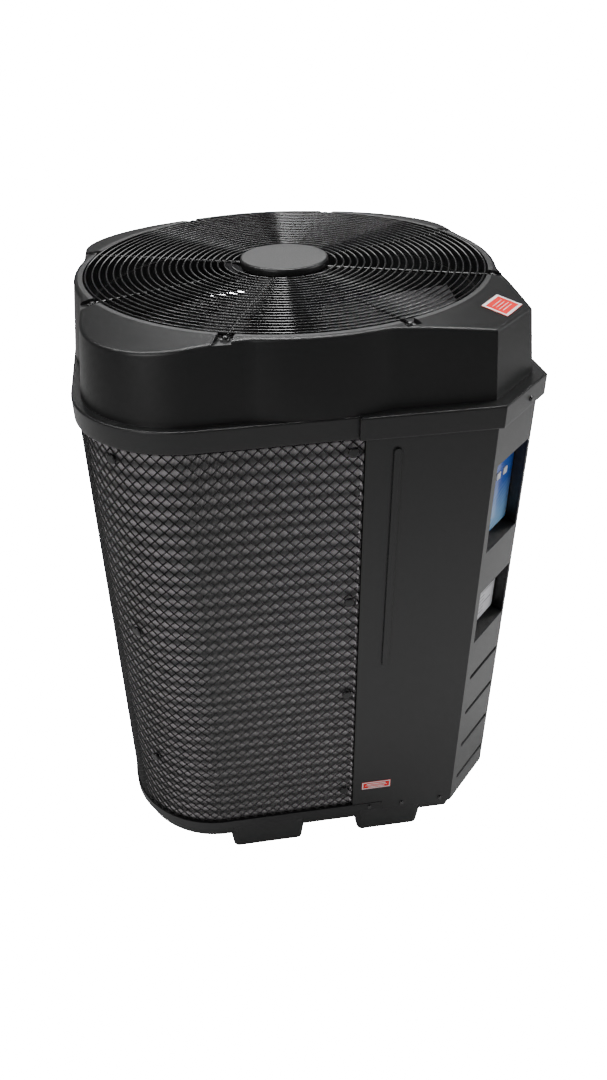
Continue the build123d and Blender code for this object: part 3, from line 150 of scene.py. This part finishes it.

# %% [markdown]
# The second group draws soft bands. On the fins a band at each tube is painted shade, and a printed film
# has streaks. A sine of one coordinate gives both, and noise breaks it up.

# %% The band group
def make_band_group():
    """A mask of soft stripes across one axis of its vector."""
    group = bpy.data.node_groups.new("soft_bands", "ShaderNodeTree")
    group_socket(group, "Vector", "INPUT", "NodeSocketVector")
    group_socket(group, "Pitch", "INPUT", "NodeSocketFloat", 0.0254)
    group_socket(group, "Unrest", "INPUT", "NodeSocketFloat", 1.0)
    group_socket(group, "Unrest Scale", "INPUT", "NodeSocketFloat", 40.0)
    group_socket(group, "Mask", "OUTPUT", "NodeSocketFloat")
    nodes, links = group.nodes, group.links
    inside = nodes.new("NodeGroupInput")
    outside = nodes.new("NodeGroupOutput")
    split = nodes.new("ShaderNodeSeparateXYZ")
    links.new(inside.outputs["Vector"], split.inputs["Vector"])
    noise = nodes.new("ShaderNodeTexNoise")
    links.new(inside.outputs["Vector"], noise.inputs["Vector"])
    links.new(inside.outputs["Unrest Scale"], noise.inputs["Scale"])
    turns = nodes.new("ShaderNodeMath")
    turns.operation = "DIVIDE"
    links.new(split.outputs["Z"], turns.inputs[0])
    links.new(inside.outputs["Pitch"], turns.inputs[1])
    angle = nodes.new("ShaderNodeMath")
    angle.operation = "MULTIPLY"
    angle.inputs[1].default_value = 2 * pi
    links.new(turns.outputs["Value"], angle.inputs[0])
    shift = nodes.new("ShaderNodeMath")
    shift.operation = "MULTIPLY_ADD"
    links.new(noise.outputs["Fac"], shift.inputs[0])
    links.new(inside.outputs["Unrest"], shift.inputs[1])
    links.new(angle.outputs["Value"], shift.inputs[2])
    wave = nodes.new("ShaderNodeMath")
    wave.operation = "SINE"
    links.new(shift.outputs["Value"], wave.inputs[0])
    mask = nodes.new("ShaderNodeMapRange")
    mask.inputs["From Min"].default_value = -1
    links.new(wave.outputs["Value"], mask.inputs["Value"])
    links.new(mask.outputs["Result"], outside.inputs["Mask"])
    return group


band_group = make_band_group()
print("group", band_group.name, "has", len(band_group.nodes), "nodes")

# %% [markdown]
# ## Finishes
#
# One function makes every plain finish from the surface group, so a finish is one line: its
# colour, how far the colour drifts, how rough it is and how deep its grain stands. A brushed
# metal stretches the grain along one axis.

# %% The finish maker
def make_finish(name, colour, drift, gloss, grain=900.0, depth=0.1, metal=0.0, coat=0.0, stretch=(1, 1, 1)):
    """A material for a hard surface; gloss is its lowest and highest roughness."""
    material = bpy.data.materials.new(name)
    material.use_nodes = True
    nodes, links = material.node_tree.nodes, material.node_tree.links
    shader = nodes["Principled BSDF"]
    shader.inputs["Metallic"].default_value = metal
    shader.inputs["Coat Weight"].default_value = coat
    place = nodes.new("ShaderNodeTexCoord")
    mapping = nodes.new("ShaderNodeMapping")
    mapping.inputs["Scale"].default_value = stretch
    links.new(place.outputs["Object"], mapping.inputs["Vector"])
    surface = nodes.new("ShaderNodeGroup")
    surface.node_tree = surface_group
    surface.name = "surface"
    surface.inputs["Colour"].default_value = (*colour, 1)
    surface.inputs["Drift Colour"].default_value = (*drift, 1)
    surface.inputs["Gloss Low"].default_value = gloss[0]
    surface.inputs["Gloss High"].default_value = gloss[1]
    surface.inputs["Grain Scale"].default_value = grain
    links.new(mapping.outputs["Vector"], surface.inputs["Vector"])
    links.new(surface.outputs["Colour"], shader.inputs["Base Color"])
    links.new(surface.outputs["Roughness"], shader.inputs["Roughness"])
    bump = nodes.new("ShaderNodeBump")
    bump.name = "bump"
    bump.inputs["Strength"].default_value = depth
    bump.inputs["Distance"].default_value = 0.5 * MM
    links.new(surface.outputs["Height"], bump.inputs["Height"])
    links.new(bump.outputs["Normal"], shader.inputs["Normal"])
    return material


# %% Plastics, rubber and paint
cabinet_plastic = make_finish(
    "cabinet_plastic", (0.010, 0.010, 0.0105), (0.014, 0.0145, 0.0145), (0.27, 0.36), 1400, 0.35
)
netting_plastic = make_finish(
    "netting_plastic", (0.004, 0.004, 0.004), (0.007, 0.007, 0.007), (0.42, 0.55), 700, 0.15
)
trim_plastic = make_finish(
    "trim_plastic", (0.01, 0.01, 0.01), (0.014, 0.014, 0.014), (0.2, 0.3), 900, 0.06
)
guard_coating = make_finish(
    "guard_coating", (0.006, 0.006, 0.006), (0.009, 0.009, 0.009), (0.09, 0.14), 300, 0.02, coat=0.3
)
fan_plastic = make_finish(
    "fan_plastic", (0.03, 0.03, 0.032), (0.045, 0.045, 0.047), (0.3, 0.42), 600, 0.1
)
motor_paint = make_finish(
    "motor_paint", (0.11, 0.11, 0.115), (0.15, 0.15, 0.155), (0.3, 0.42), 500, 0.12
)
vessel_paint = make_finish(
    "vessel_paint", (0.015, 0.015, 0.015), (0.024, 0.024, 0.024), (0.25, 0.35), 300, 0.15, coat=0.2
)
drier_paint = make_finish("drier_paint", (0.03, 0.16, 0.08), (0.04, 0.2, 0.1), (0.3, 0.4), 300, 0.1)
black_rubber = make_finish("black_rubber", (0.02, 0.02, 0.02), (0.03, 0.03, 0.03), (0.7, 0.85), 800, 0.3)
pipe_plastic = make_finish("pipe_plastic", (0.72, 0.72, 0.70), (0.8, 0.8, 0.78), (0.25, 0.35), 500, 0.04)
tank_plastic = make_finish("tank_plastic", (0.16, 0.165, 0.17), (0.2, 0.205, 0.21), (0.4, 0.5), 500, 0.15)
key_plastic = make_finish("key_plastic", (0.78, 0.8, 0.84), (0.85, 0.86, 0.9), (0.3, 0.4), 900, 0.05)
board_mask = make_finish("board_mask", (0.02, 0.12, 0.05), (0.03, 0.18, 0.08), (0.25, 0.4), 200, 0.2)
print(len(bpy.data.materials), "materials so far")

# %% Metals
zinc_steel = make_finish(
    "zinc_steel", (0.5, 0.51, 0.52), (0.66, 0.67, 0.68), (0.28, 0.45), 220, 0.15, metal=1.0
)
zinc_steel.node_tree.nodes["surface"].inputs["Drift Scale"].default_value = 45.0
black_screw = make_finish(
    "black_screw", (0.06, 0.06, 0.06), (0.12, 0.12, 0.12), (0.2, 0.32), 900, 0.1, metal=0.9
)
bare_copper = make_finish(
    "bare_copper", (0.72, 0.36, 0.22), (0.5, 0.22, 0.13), (0.2, 0.42), 260, 0.12, metal=1.0
)
bare_brass = make_finish(
    "bare_brass", (0.72, 0.55, 0.26), (0.58, 0.42, 0.2), (0.22, 0.38), 300, 0.12, metal=1.0
)
mill_aluminium = make_finish(
    "mill_aluminium", (0.6, 0.61, 0.63), (0.72, 0.73, 0.75), (0.25, 0.4), 160, 0.12, metal=1.0,
    stretch=(1, 1, 12),
)
print(len(bpy.data.materials), "materials so far")

# %% [markdown]
# Fins are bare aluminium sheet. Each tube behind them shades the fins, and that shade is painted here as a
# darker band.

# %% Fin finish
TUBE_PITCH = 25.4 * MM
fin_metal_and_painted_shade = make_finish(
    "fin_metal_and_painted_shade", (0.90, 0.86, 0.88), (0.97, 0.93, 0.95), (0.4, 0.55), 300, 0.2, metal=0.1
)


def add_painted_tube_shade(material, tube_shade_colour, pitch, unrest, unrest_scale):
    """Paints shade onto a finish as soft darker bands across Z."""
    nodes, links = material.node_tree.nodes, material.node_tree.links
    tube_shade_bands = nodes.new("ShaderNodeGroup")
    tube_shade_bands.node_tree = band_group
    tube_shade_bands.inputs["Pitch"].default_value = pitch
    tube_shade_bands.inputs["Unrest"].default_value = unrest
    tube_shade_bands.inputs["Unrest Scale"].default_value = unrest_scale
    place = nodes.new("ShaderNodeTexCoord")
    links.new(place.outputs["Object"], tube_shade_bands.inputs["Vector"])
    mix = nodes.new("ShaderNodeMix")
    mix.data_type = "RGBA"
    mix.inputs["B"].default_value = (*tube_shade_colour, 1)
    links.new(tube_shade_bands.outputs["Mask"], mix.inputs["Factor"])
    links.new(nodes["surface"].outputs["Colour"], mix.inputs["A"])
    links.new(mix.outputs["Result"], nodes["Principled BSDF"].inputs["Base Color"])


# The fin bands are painted shade, the darkening each tube casts across the fins.
add_painted_tube_shade(fin_metal_and_painted_shade, (0.27, 0.265, 0.27), TUBE_PITCH, 1.2, 12.0)
fin_shadow = make_finish(
    "fin_shadow", (0.05, 0.05, 0.052), (0.08, 0.08, 0.082), (0.5, 0.65), 300, 0.2, metal=0.4
)
print("fin bands every", TUBE_PITCH, "m")

# %% [markdown]
# The control film is royal blue at the top and runs to a light blue with pale streaks lower
# down. A ramp along Z mixes the two blues, and the band group draws the streaks.

# %% Printed films
FILM_BLUE = 0.42         # share of the film, from its top, that stays royal blue
STREAK_TILT = 28         # degrees
STREAK_PITCH = 9 * MM
film_low, film_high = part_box("control_label")


def make_control_film():
    """Royal blue above, light blue with streaks below."""
    material = make_finish(
        "control_film", (0.02, 0.1, 0.5), (0.03, 0.13, 0.58), (0.18, 0.26), 400, 0.03, coat=0.3
    )
    nodes, links = material.node_tree.nodes, material.node_tree.links
    place = nodes.new("ShaderNodeTexCoord")
    split = nodes.new("ShaderNodeSeparateXYZ")
    links.new(place.outputs["Object"], split.inputs["Vector"])
    fade = nodes.new("ShaderNodeMapRange")
    fade.inputs["From Min"].default_value = film_high.z - FILM_BLUE * (film_high.z - film_low.z)
    fade.inputs["From Max"].default_value = film_low.z
    links.new(split.outputs["Z"], fade.inputs["Value"])
    turn = nodes.new("ShaderNodeMapping")
    turn.inputs["Rotation"].default_value = (0, radians(STREAK_TILT), 0)
    links.new(place.outputs["Object"], turn.inputs["Vector"])
    streaks = nodes.new("ShaderNodeGroup")
    streaks.node_tree = band_group
    streaks.inputs["Pitch"].default_value = STREAK_PITCH
    streaks.inputs["Unrest"].default_value = 9.0
    streaks.inputs["Unrest Scale"].default_value = 22.0
    links.new(turn.outputs["Vector"], streaks.inputs["Vector"])
    pale = nodes.new("ShaderNodeMix")
    pale.data_type = "RGBA"
    pale.inputs["A"].default_value = (0.12, 0.45, 0.95, 1)
    pale.inputs["B"].default_value = (0.55, 0.82, 1.0, 1)
    links.new(streaks.outputs["Mask"], pale.inputs["Factor"])
    mix = nodes.new("ShaderNodeMix")
    mix.data_type = "RGBA"
    links.new(fade.outputs["Result"], mix.inputs["Factor"])
    links.new(nodes["surface"].outputs["Colour"], mix.inputs["A"])
    links.new(pale.outputs["Result"], mix.inputs["B"])
    links.new(mix.outputs["Result"], nodes["Principled BSDF"].inputs["Base Color"])
    return material


control_film = make_control_film()
plate_film = make_finish("plate_film", (0.88, 0.88, 0.92), (0.93, 0.93, 0.96), (0.28, 0.36), 500, 0.04)
red_film = make_finish("red_film", (0.92, 0.02, 0.02), (0.96, 0.03, 0.03), (0.6, 0.7), 500, 0.03)
red_film.node_tree.nodes["Principled BSDF"].inputs["Specular IOR Level"].default_value = 0.15
white_ink = make_finish("white_ink", (0.93, 0.92, 0.92), (0.96, 0.95, 0.95), (0.5, 0.6), 500, 0.02)
grey_ink = make_finish("grey_ink", (0.2, 0.2, 0.23), (0.27, 0.27, 0.3), (0.35, 0.45), 500, 0.02)
print(len(bpy.data.materials), "materials in all")

# %% [markdown]
# ## Finishes on the CAD pieces
#
# The CAD pieces already have the right shape. Each one only takes its finish here.

# %% Dress the CAD nodes
wardrobe = {
    cabinet_plastic: [
        "base_pan", "base_feet", "top_shroud", "service_panel", "side_panel", "hub_cap", "fan_throat",
    ],
    trim_plastic: [
        "guard_plugs", "drain_fitting", "conduit_bushing", "union_nuts", "control_module",
        "terminal_cover", "contactor", "terminal_block", "pressure_switch",
    ],
    guard_coating: ["guard_rings", "guard_rods"],
    zinc_steel: [
        "hub_plate", "hub_studs", "cabinet_posts", "tube_sheets", "electrical_box",
        "electrical_cover", "compressor_plate", "compressor_bolts", "motor_shaft",
    ],
    black_screw: ["cabinet_screws", "clip_screws", "guard_clips"],
    mill_aluminium: ["run_capacitor", "fan_bushing"],
    bare_copper: ["return_bends", "discharge_line", "suction_line", "liquid_line"],
    bare_brass: ["reversing_valve", "expansion_valve"],
    vessel_paint: ["compressor_shell", "accumulator"],
    drier_paint: ["filter_drier"],
    motor_paint: ["fan_motor"],
    black_rubber: ["compressor_grommets", "union_gaskets"],
    pipe_plastic: ["water_pipes", "union_tails"],
    tank_plastic: ["exchanger_shell", "exchanger_caps", "exchanger_stand"],
    fan_plastic: ["fan_rotor"],
    key_plastic: ["key_1", "key_2", "key_3"],
    board_mask: ["control_board"],
    control_film: ["control_label"],
    plate_film: ["data_plate"],
    red_film: ["panel_sticker", "lobe_sticker"],
    fin_shadow: ["coil_fins"],
    netting_plastic: ["coil_guard"],
}
for material, names in wardrobe.items():
    for name in names:
        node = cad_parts[name]
        node.data.materials.clear()
        node.data.materials.append(material)
print("dressed", sum(len(names) for names in wardrobe.values()), "of", len(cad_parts), "nodes")

# %% [markdown]
# ## Laying flat work round the cabinet
#
# The netting and the fins follow the cabinet's plan: straight sides and three round corners.
# Both are easier to model flat. A flat piece has X along the run, Y outwards and Z up, and
# this function lays it round the cabinet. The run is counted from the middle of the front,
# going left, so the four sides are the same side turned by a quarter each time.

# %% The wrap
netting_low, netting_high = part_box("coil_guard")
body_half = netting_high.y
corner_radius = 180 * MM
flat_half = body_half - corner_radius
side_run = 2 * flat_half + corner_radius * pi / 2
netting_start = -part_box("service_panel")[0].x + 1 * MM
netting_end = 3 * side_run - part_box("side_panel")[1].y - 1 * MM


def wrap_point(run, out, height):
    """A point of flat work, moved to its place on the cabinet's wall."""
    side = floor((run + flat_half) / side_run)
    left = run - side * side_run
    turn = Matrix.Rotation(pi - side * pi / 2, 2)
    ahead = turn @ Vector((1, 0))
    outward = Vector((-ahead.y, ahead.x))
    if left <= flat_half:
        place = ahead * left + outward * (body_half + out)
    else:
        angle = (left - flat_half) / corner_radius
        radial = outward * cos(angle) + ahead * sin(angle)
        place = (ahead + outward) * flat_half + radial * (corner_radius + out)
    return Vector((place.x, place.y, height))


def wrap(piece):
    """Lays a whole flat piece round the cabinet."""
    for vertex in piece.data.vertices:
        vertex.co = wrap_point(*vertex.co)
    piece.data.update()


print(f"netting runs {netting_end - netting_start:.3f} m round the cabinet")

# %% [markdown]
# ## Netting
#
# The real netting is extruded plastic with diamond openings. A grid whose squares are poked
# and then lose their own edges is a grid of diamonds, and the Wireframe modifier turns each
# edge into a strand. It is made in three lengths, so no piece grows too heavy. Where two lengths
# meet, their border edges are deleted, so the diamonds run on with no upright line between them.

# %% Make one length of netting
DIAMOND = 18.5 * MM
STRAND = 3.2 * MM


def lies_inside(edge, low, high):
    """True for a straight grid edge that isn't on the border."""
    a, b = edge.verts[0].co, edge.verts[1].co
    for axis in (0, 2):
        if abs(a[axis] - b[axis]) < CLOSE:
            return low[axis] + CLOSE < a[axis] < high[axis] - CLOSE
    return False


def make_netting(name, run_start, run_end, bottom, top, open_ends):
    """A length of diamond netting; at its open ends the next length carries on."""
    start()
    columns = round((run_end - run_start) / DIAMOND)
    rows = round((top - bottom) / DIAMOND)
    middle = ((run_start + run_end) / 2, 0, (bottom + top) / 2)
    bpy.ops.mesh.primitive_grid_add(
        x_subdivisions=columns, y_subdivisions=rows, size=1, location=middle, rotation=(pi / 2, 0, 0)
    )
    piece = bpy.context.object
    piece.scale = (run_end - run_start, top - bottom, 1)
    bpy.ops.object.transform_apply(location=True, rotation=True, scale=True)
    low, high = Vector((run_start, 0, bottom)), Vector((run_end, 0, top))
    bpy.ops.object.mode_set(mode="EDIT")
    bpy.ops.mesh.poke()
    bpy.ops.mesh.select_mode(type="EDGE")
    bpy.ops.mesh.select_all(action="DESELECT")
    mesh = bmesh.from_edit_mesh(piece.data)
    for edge in mesh.edges:
        edge.select = lies_inside(edge, low, high)
    bmesh.update_edit_mesh(piece.data)
    bpy.ops.mesh.dissolve_edges(use_verts=False)
    bpy.ops.mesh.select_all(action="DESELECT")
    mesh = bmesh.from_edit_mesh(piece.data)
    for edge in mesh.edges:
        edge.select = any(all(abs(v.co.x - end) < CLOSE for v in edge.verts) for end in open_ends)
    bmesh.update_edit_mesh(piece.data)
    bpy.ops.mesh.delete(type="EDGE")
    bpy.ops.object.mode_set(mode="OBJECT")
    apply_modifier(
        piece, "WIREFRAME", thickness=STRAND, offset=0, use_even_offset=False, use_boundary=True
    )
    for vertex in piece.data.vertices:
        vertex.co.y -= STRAND / 2
    wrap(piece)
    return settle(piece, name, netting_plastic, smooth=60)


# %% Netting round the cabinet
rim_top = netting_low.z
TUCK = 12 * MM           # netting that is hidden behind the flange
hidden_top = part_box("top_shroud")[0].z + TUCK
lengths = 3
share = (netting_end - netting_start) / lengths
for i in range(lengths):
    first, last = netting_start + i * share, netting_start + (i + 1) * share
    open_ends = [first] * (i > 0) + [last] * (i < lengths - 1)
    piece = make_netting(f"netting_{i + 1}", first, last, rim_top + STRAND / 2, hidden_top, open_ends)
    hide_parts("coil_guard")

# %% [markdown]
# ## Fins
#
# The coil is a stack of upright aluminium fins, about one every two millimetres. The CAD core
# keeps the dark depth of the stack, and only the fin edges need modelling, outside and inside.
# The outer ones reach to just behind the netting, above the rim of the base.
# One plate is solidified, an Array modifier repeats it along the run, and the same wrap fans
# the plates out at the corners as on the real coil.

# %% Fin edges
FIN_PITCH = 2.1 * MM
FIN_WALL = 0.7 * MM
FIN_EDGE = 3.5 * MM
FIN_REACH = 10 * MM
fins_low, fins_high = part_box("coil_fins")
outer_face = body_half - fins_high.y
COIL_DEPTH = 44 * MM
FRONT_END = 70 * MM
SIDE_END = 95 * MM
inner_face = outer_face + COIL_DEPTH
fins_start = -FRONT_END
fins_end = 3 * side_run - SIDE_END


def make_fin_edges(name, inset, reach, bottom):
    """A comb of upright fin edges that reaches from inset towards the middle of the unit."""
    start()
    bpy.ops.mesh.primitive_plane_add(
        size=1,
        location=(fins_start + FIN_PITCH, -inset - reach / 2, (bottom + fins_high.z) / 2),
        rotation=(0, pi / 2, 0),
    )
    piece = bpy.context.object
    piece.scale = (fins_high.z - bottom, reach, 1)
    bpy.ops.object.transform_apply(location=True, rotation=True, scale=True)
    apply_modifier(piece, "SOLIDIFY", thickness=FIN_WALL, offset=0)
    apply_modifier(
        piece, "ARRAY", count=int((fins_end - fins_start) / FIN_PITCH) - 1,
        use_relative_offset=False, use_constant_offset=True,
        constant_offset_displace=(FIN_PITCH, 0, 0),
    )
    wrap(piece)
    return settle(piece, name, fin_metal_and_painted_shade, smooth=20)


make_fin_edges("fin_edges_outer", outer_face - FIN_REACH, FIN_REACH, rim_top + 1 * MM)
make_fin_edges("fin_edges_inner", inner_face, FIN_EDGE, fins_low.z)

# %% [markdown]
# ## Printed marks
#
# Stickers and plates carry printing. The marks here are plain bars and blocks, with no
# lettering. Each is a thin film of ink: a flat quad with a little thickness, laid just above
# its sheet. A matrix says where the sheet is: its middle, its right and its outward direction.

# %% Ink films
INK = 0.12 * MM


def sheet_place(middle, right, outward):
    """The matrix that puts flat artwork on a sheet."""
    right = Vector(right).normalized()
    outward = Vector(outward).normalized()
    up = outward.cross(right)
    place = Matrix((right, up, outward)).transposed().to_4x4()
    place.translation = middle
    return place


def print_marks(name, place, marks, material, lift=INK):
    """Ink blocks on a sheet; each mark is (x, y, width, height) in millimetres."""
    start()
    bpy.ops.mesh.primitive_plane_add(size=1)
    piece = bpy.context.object
    bpy.ops.object.mode_set(mode="EDIT")
    bpy.ops.mesh.select_all(action="SELECT")
    bpy.ops.mesh.delete(type="VERT")
    for x, y, width, height in marks:
        spot = (x * MM, y * MM, lift)
        bpy.ops.mesh.select_all(action="DESELECT")
        bpy.ops.mesh.primitive_plane_add(size=MM, location=spot)
        bpy.ops.transform.resize(value=(width, height, 1), center_override=spot)
    bpy.ops.object.mode_set(mode="OBJECT")
    apply_modifier(piece, "SOLIDIFY", thickness=INK, offset=1)
    piece.matrix_world = place
    return settle(piece, name, material, smooth=30)


def frame_marks(width, height, line):
    """The four bars of a border."""
    across, upright = width / 2 - line / 2, height / 2 - line / 2
    bars = [(0, sign * upright, width, line) for sign in (-1, 1)]
    return bars + [(sign * across, 0, line, height - 2 * line) for sign in (-1, 1)]


# %% Marks on the stickers
sticker_low, sticker_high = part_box("panel_sticker")
sticker_middle = (sticker_low + sticker_high) / 2
sticker_middle.y = sticker_low.y
panel_print = frame_marks(59.5, 19.5, 2.2) + [(0, 3.6, 40, 2.2), (0, -0.4, 46, 1.4), (0, -4.4, 34, 2.0)]
print_marks(
    "panel_sticker_print", sheet_place(sticker_middle, (1, 0, 0), (0, -1, 0)), panel_print, white_ink,
)

lobe_low, lobe_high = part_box("lobe_sticker")
lobe_middle = (lobe_low + lobe_high) / 2
LOBE_BEARING = -42       # degrees from +X to the sticker
LOBE_SLOPE = 0.2         # fall of the plate under it
bearing = radians(LOBE_BEARING)
lobe_out = (LOBE_SLOPE * cos(bearing), LOBE_SLOPE * sin(bearing), 1)
lobe_lines = ((-9, 34), (-3, 38), (3, 30), (9, 36))
lobe_print = frame_marks(61, 45, 4.5) + [(0, y, length, 0.9) for y, length in lobe_lines]
print_marks(
    "lobe_sticker_print", sheet_place(lobe_middle, (-sin(bearing), cos(bearing), 0), lobe_out),
    lobe_print, white_ink, lift=0.45 * MM,
)

# %% Marks on the data plate
plate_low, plate_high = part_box("data_plate")
corner_right = Vector((1, 1, 0)).normalized()
corner_out = Vector((1, -1, 0)).normalized()
plate_middle = (plate_low + plate_high) / 2 + corner_out * 0.4 * MM
plate_rows = [(-14 if row % 3 else 0, 36 - 9 * row, 50 if row % 3 else 80, 2.2) for row in range(9)]
print_marks(
    "data_plate_print", sheet_place(plate_middle, corner_right, corner_out),
    plate_rows, grey_ink,
)

# %% [markdown]
# ## Cut ends
#
# Where the netting was cut along the front panel, each strand ends in a small stub, coloured pale grey as a
# painted highlight for the glint on each cut end. One faceted stub is copied up the edge, each copy joined
# into a single mesh.

# %% Cut ends of the netting
# The pale grey of the stubs is a painted highlight. The cut ends are black plastic that catches the light.
stub_painted_glint = make_finish("stub_painted_glint", (0.6, 0.58, 0.6), (0.8, 0.78, 0.8), (0.2, 0.35), 900, 0.05)
STUB = 2.2 * MM
stub_rows = round((hidden_top - rim_top - STRAND / 2) / DIAMOND)
start()
bpy.ops.mesh.primitive_ico_sphere_add(
    subdivisions=1, radius=STUB, location=wrap_point(netting_start + 2 * STUB, STUB / 2, rim_top + DIAMOND)
)
stubs = bpy.context.object
stubs.scale = (0.7, 0.8, 1.5)
bpy.ops.object.transform_apply(location=True, rotation=True, scale=True)
apply_modifier(
    stubs, "ARRAY", count=stub_rows - 3, use_relative_offset=False, use_constant_offset=True,
    constant_offset_displace=(0, 0, (hidden_top - rim_top) / stub_rows),
)
settle(stubs, "netting_stubs", stub_painted_glint, smooth=60)

# %% [markdown]
# ## Floor, light and camera
#
# A pale floor and large soft lights show a black object by its reflections. Three strips above
# brighten the sloping plates, and each draws its own bright sector on the round guard wires.
# The light on the right
# lifts the flat corner, and the one on the left keeps the round corner readable.

# %% Floor
WHITE = 30.0             # strength that reads as plain white to the camera
start()
bpy.ops.mesh.primitive_plane_add(size=120)
studio_floor = bpy.context.object
studio_floor.name = "studio_floor"
floor_paint = make_finish("floor_paint", (0.85, 0.85, 0.85), (0.87, 0.87, 0.87), (0.8, 0.9), 40, 0.01)
floor_nodes, floor_links = floor_paint.node_tree.nodes, floor_paint.node_tree.links
glow = floor_nodes.new("ShaderNodeEmission")
glow.inputs["Strength"].default_value = WHITE
seen = floor_nodes.new("ShaderNodeLightPath")
glow_share = floor_nodes.new("ShaderNodeMath")
glow_share.operation = "MULTIPLY"
glow_share.inputs[1].default_value = 0.92
blend = floor_nodes.new("ShaderNodeMixShader")
floor_links.new(seen.outputs["Is Camera Ray"], glow_share.inputs[0])
floor_links.new(glow_share.outputs["Value"], blend.inputs["Fac"])
floor_links.new(floor_nodes["Principled BSDF"].outputs["BSDF"], blend.inputs[1])
floor_links.new(glow.outputs["Emission"], blend.inputs[2])
floor_links.new(blend.outputs["Shader"], floor_nodes["Material Output"].inputs["Surface"])
studio_floor.data.materials.append(floor_paint)
print("floor", studio_floor.dimensions.x, "m wide")

# %% Lights
def add_light(name, place, aim, width, depth, power):
    """A large soft light that points at aim."""
    data = bpy.data.lights.new(name, "AREA")
    data.shape = "RECTANGLE"
    data.size = width
    data.size_y = depth
    data.energy = power
    light = bpy.data.objects.new(name, data)
    light.location = place
    light.rotation_euler = (Vector(aim) - Vector(place)).to_track_quat("-Z", "Y").to_euler()
    bpy.context.scene.collection.objects.link(light)
    return light


unit_middle = (0, 0, 0.6)
unit_top = (0, 0, 1.13)
strip_gap = 1.15
for number in range(3):
    spot = ((number - 1) * strip_gap, 0.3, 3.3)
    add_light(f"light_ceiling_{number}", spot, unit_top, 0.12, 1.8, 34)
add_light("light_behind", (0.5, 3.6, 2.9), unit_top, 2.4, 0.8, 24)
add_light("light_right", (3.3, -0.7, 1.7), unit_middle, 1.6, 1.6, 36)
add_light("light_left", (-2.6, -2.8, 2.2), unit_middle, 1.6, 1.6, 40)

# %% World
world = bpy.data.worlds.new("studio_world")
bpy.context.scene.world = world
world.use_nodes = True
world_nodes, world_links = world.node_tree.nodes, world.node_tree.links
backdrop = world_nodes["Background"]
backdrop.inputs["Strength"].default_value = WHITE
room = world_nodes.new("ShaderNodeBackground")
room.inputs["Color"].default_value = (1, 1, 1, 1)
room.inputs["Strength"].default_value = 0.12
backdrop.inputs["Color"].default_value = (1, 1, 1, 1)
world_seen = world_nodes.new("ShaderNodeLightPath")
world_mix = world_nodes.new("ShaderNodeMixShader")
world_links.new(world_seen.outputs["Is Camera Ray"], world_mix.inputs["Fac"])
world_links.new(room.outputs["Background"], world_mix.inputs[1])
world_links.new(backdrop.outputs["Background"], world_mix.inputs[2])
world_links.new(world_mix.outputs["Shader"], world_nodes["World Output"].inputs["Surface"])
print("six lights in a dim room, and a white backdrop")

# %% Camera
heading, tilt, roll = 7.26, 35.85, -1.79
forward = Vector((
    sin(radians(heading)) * cos(radians(tilt)),
    cos(radians(heading)) * cos(radians(tilt)),
    -sin(radians(tilt)),
))
level = Vector((cos(radians(heading)), -sin(radians(heading)), 0))
upward = level.cross(forward)
right = level * cos(radians(roll)) + upward * sin(radians(roll))
upward = right.cross(forward)
camera_data = bpy.data.cameras.new("studio_camera")
camera_data.lens = 29.82
camera_data.sensor_width = 36
camera_data.shift_x = 0.0258
camera_data.shift_y = 0.0375
camera = bpy.data.objects.new("studio_camera", camera_data)
camera.matrix_world = Matrix((right, upward, -forward)).transposed().to_4x4()
camera.location = (-0.2386, -1.6126, 1.6090)
bpy.context.scene.collection.objects.link(camera)
bpy.context.scene.camera = camera
print("camera", tuple(round(v, 3) for v in camera.location))
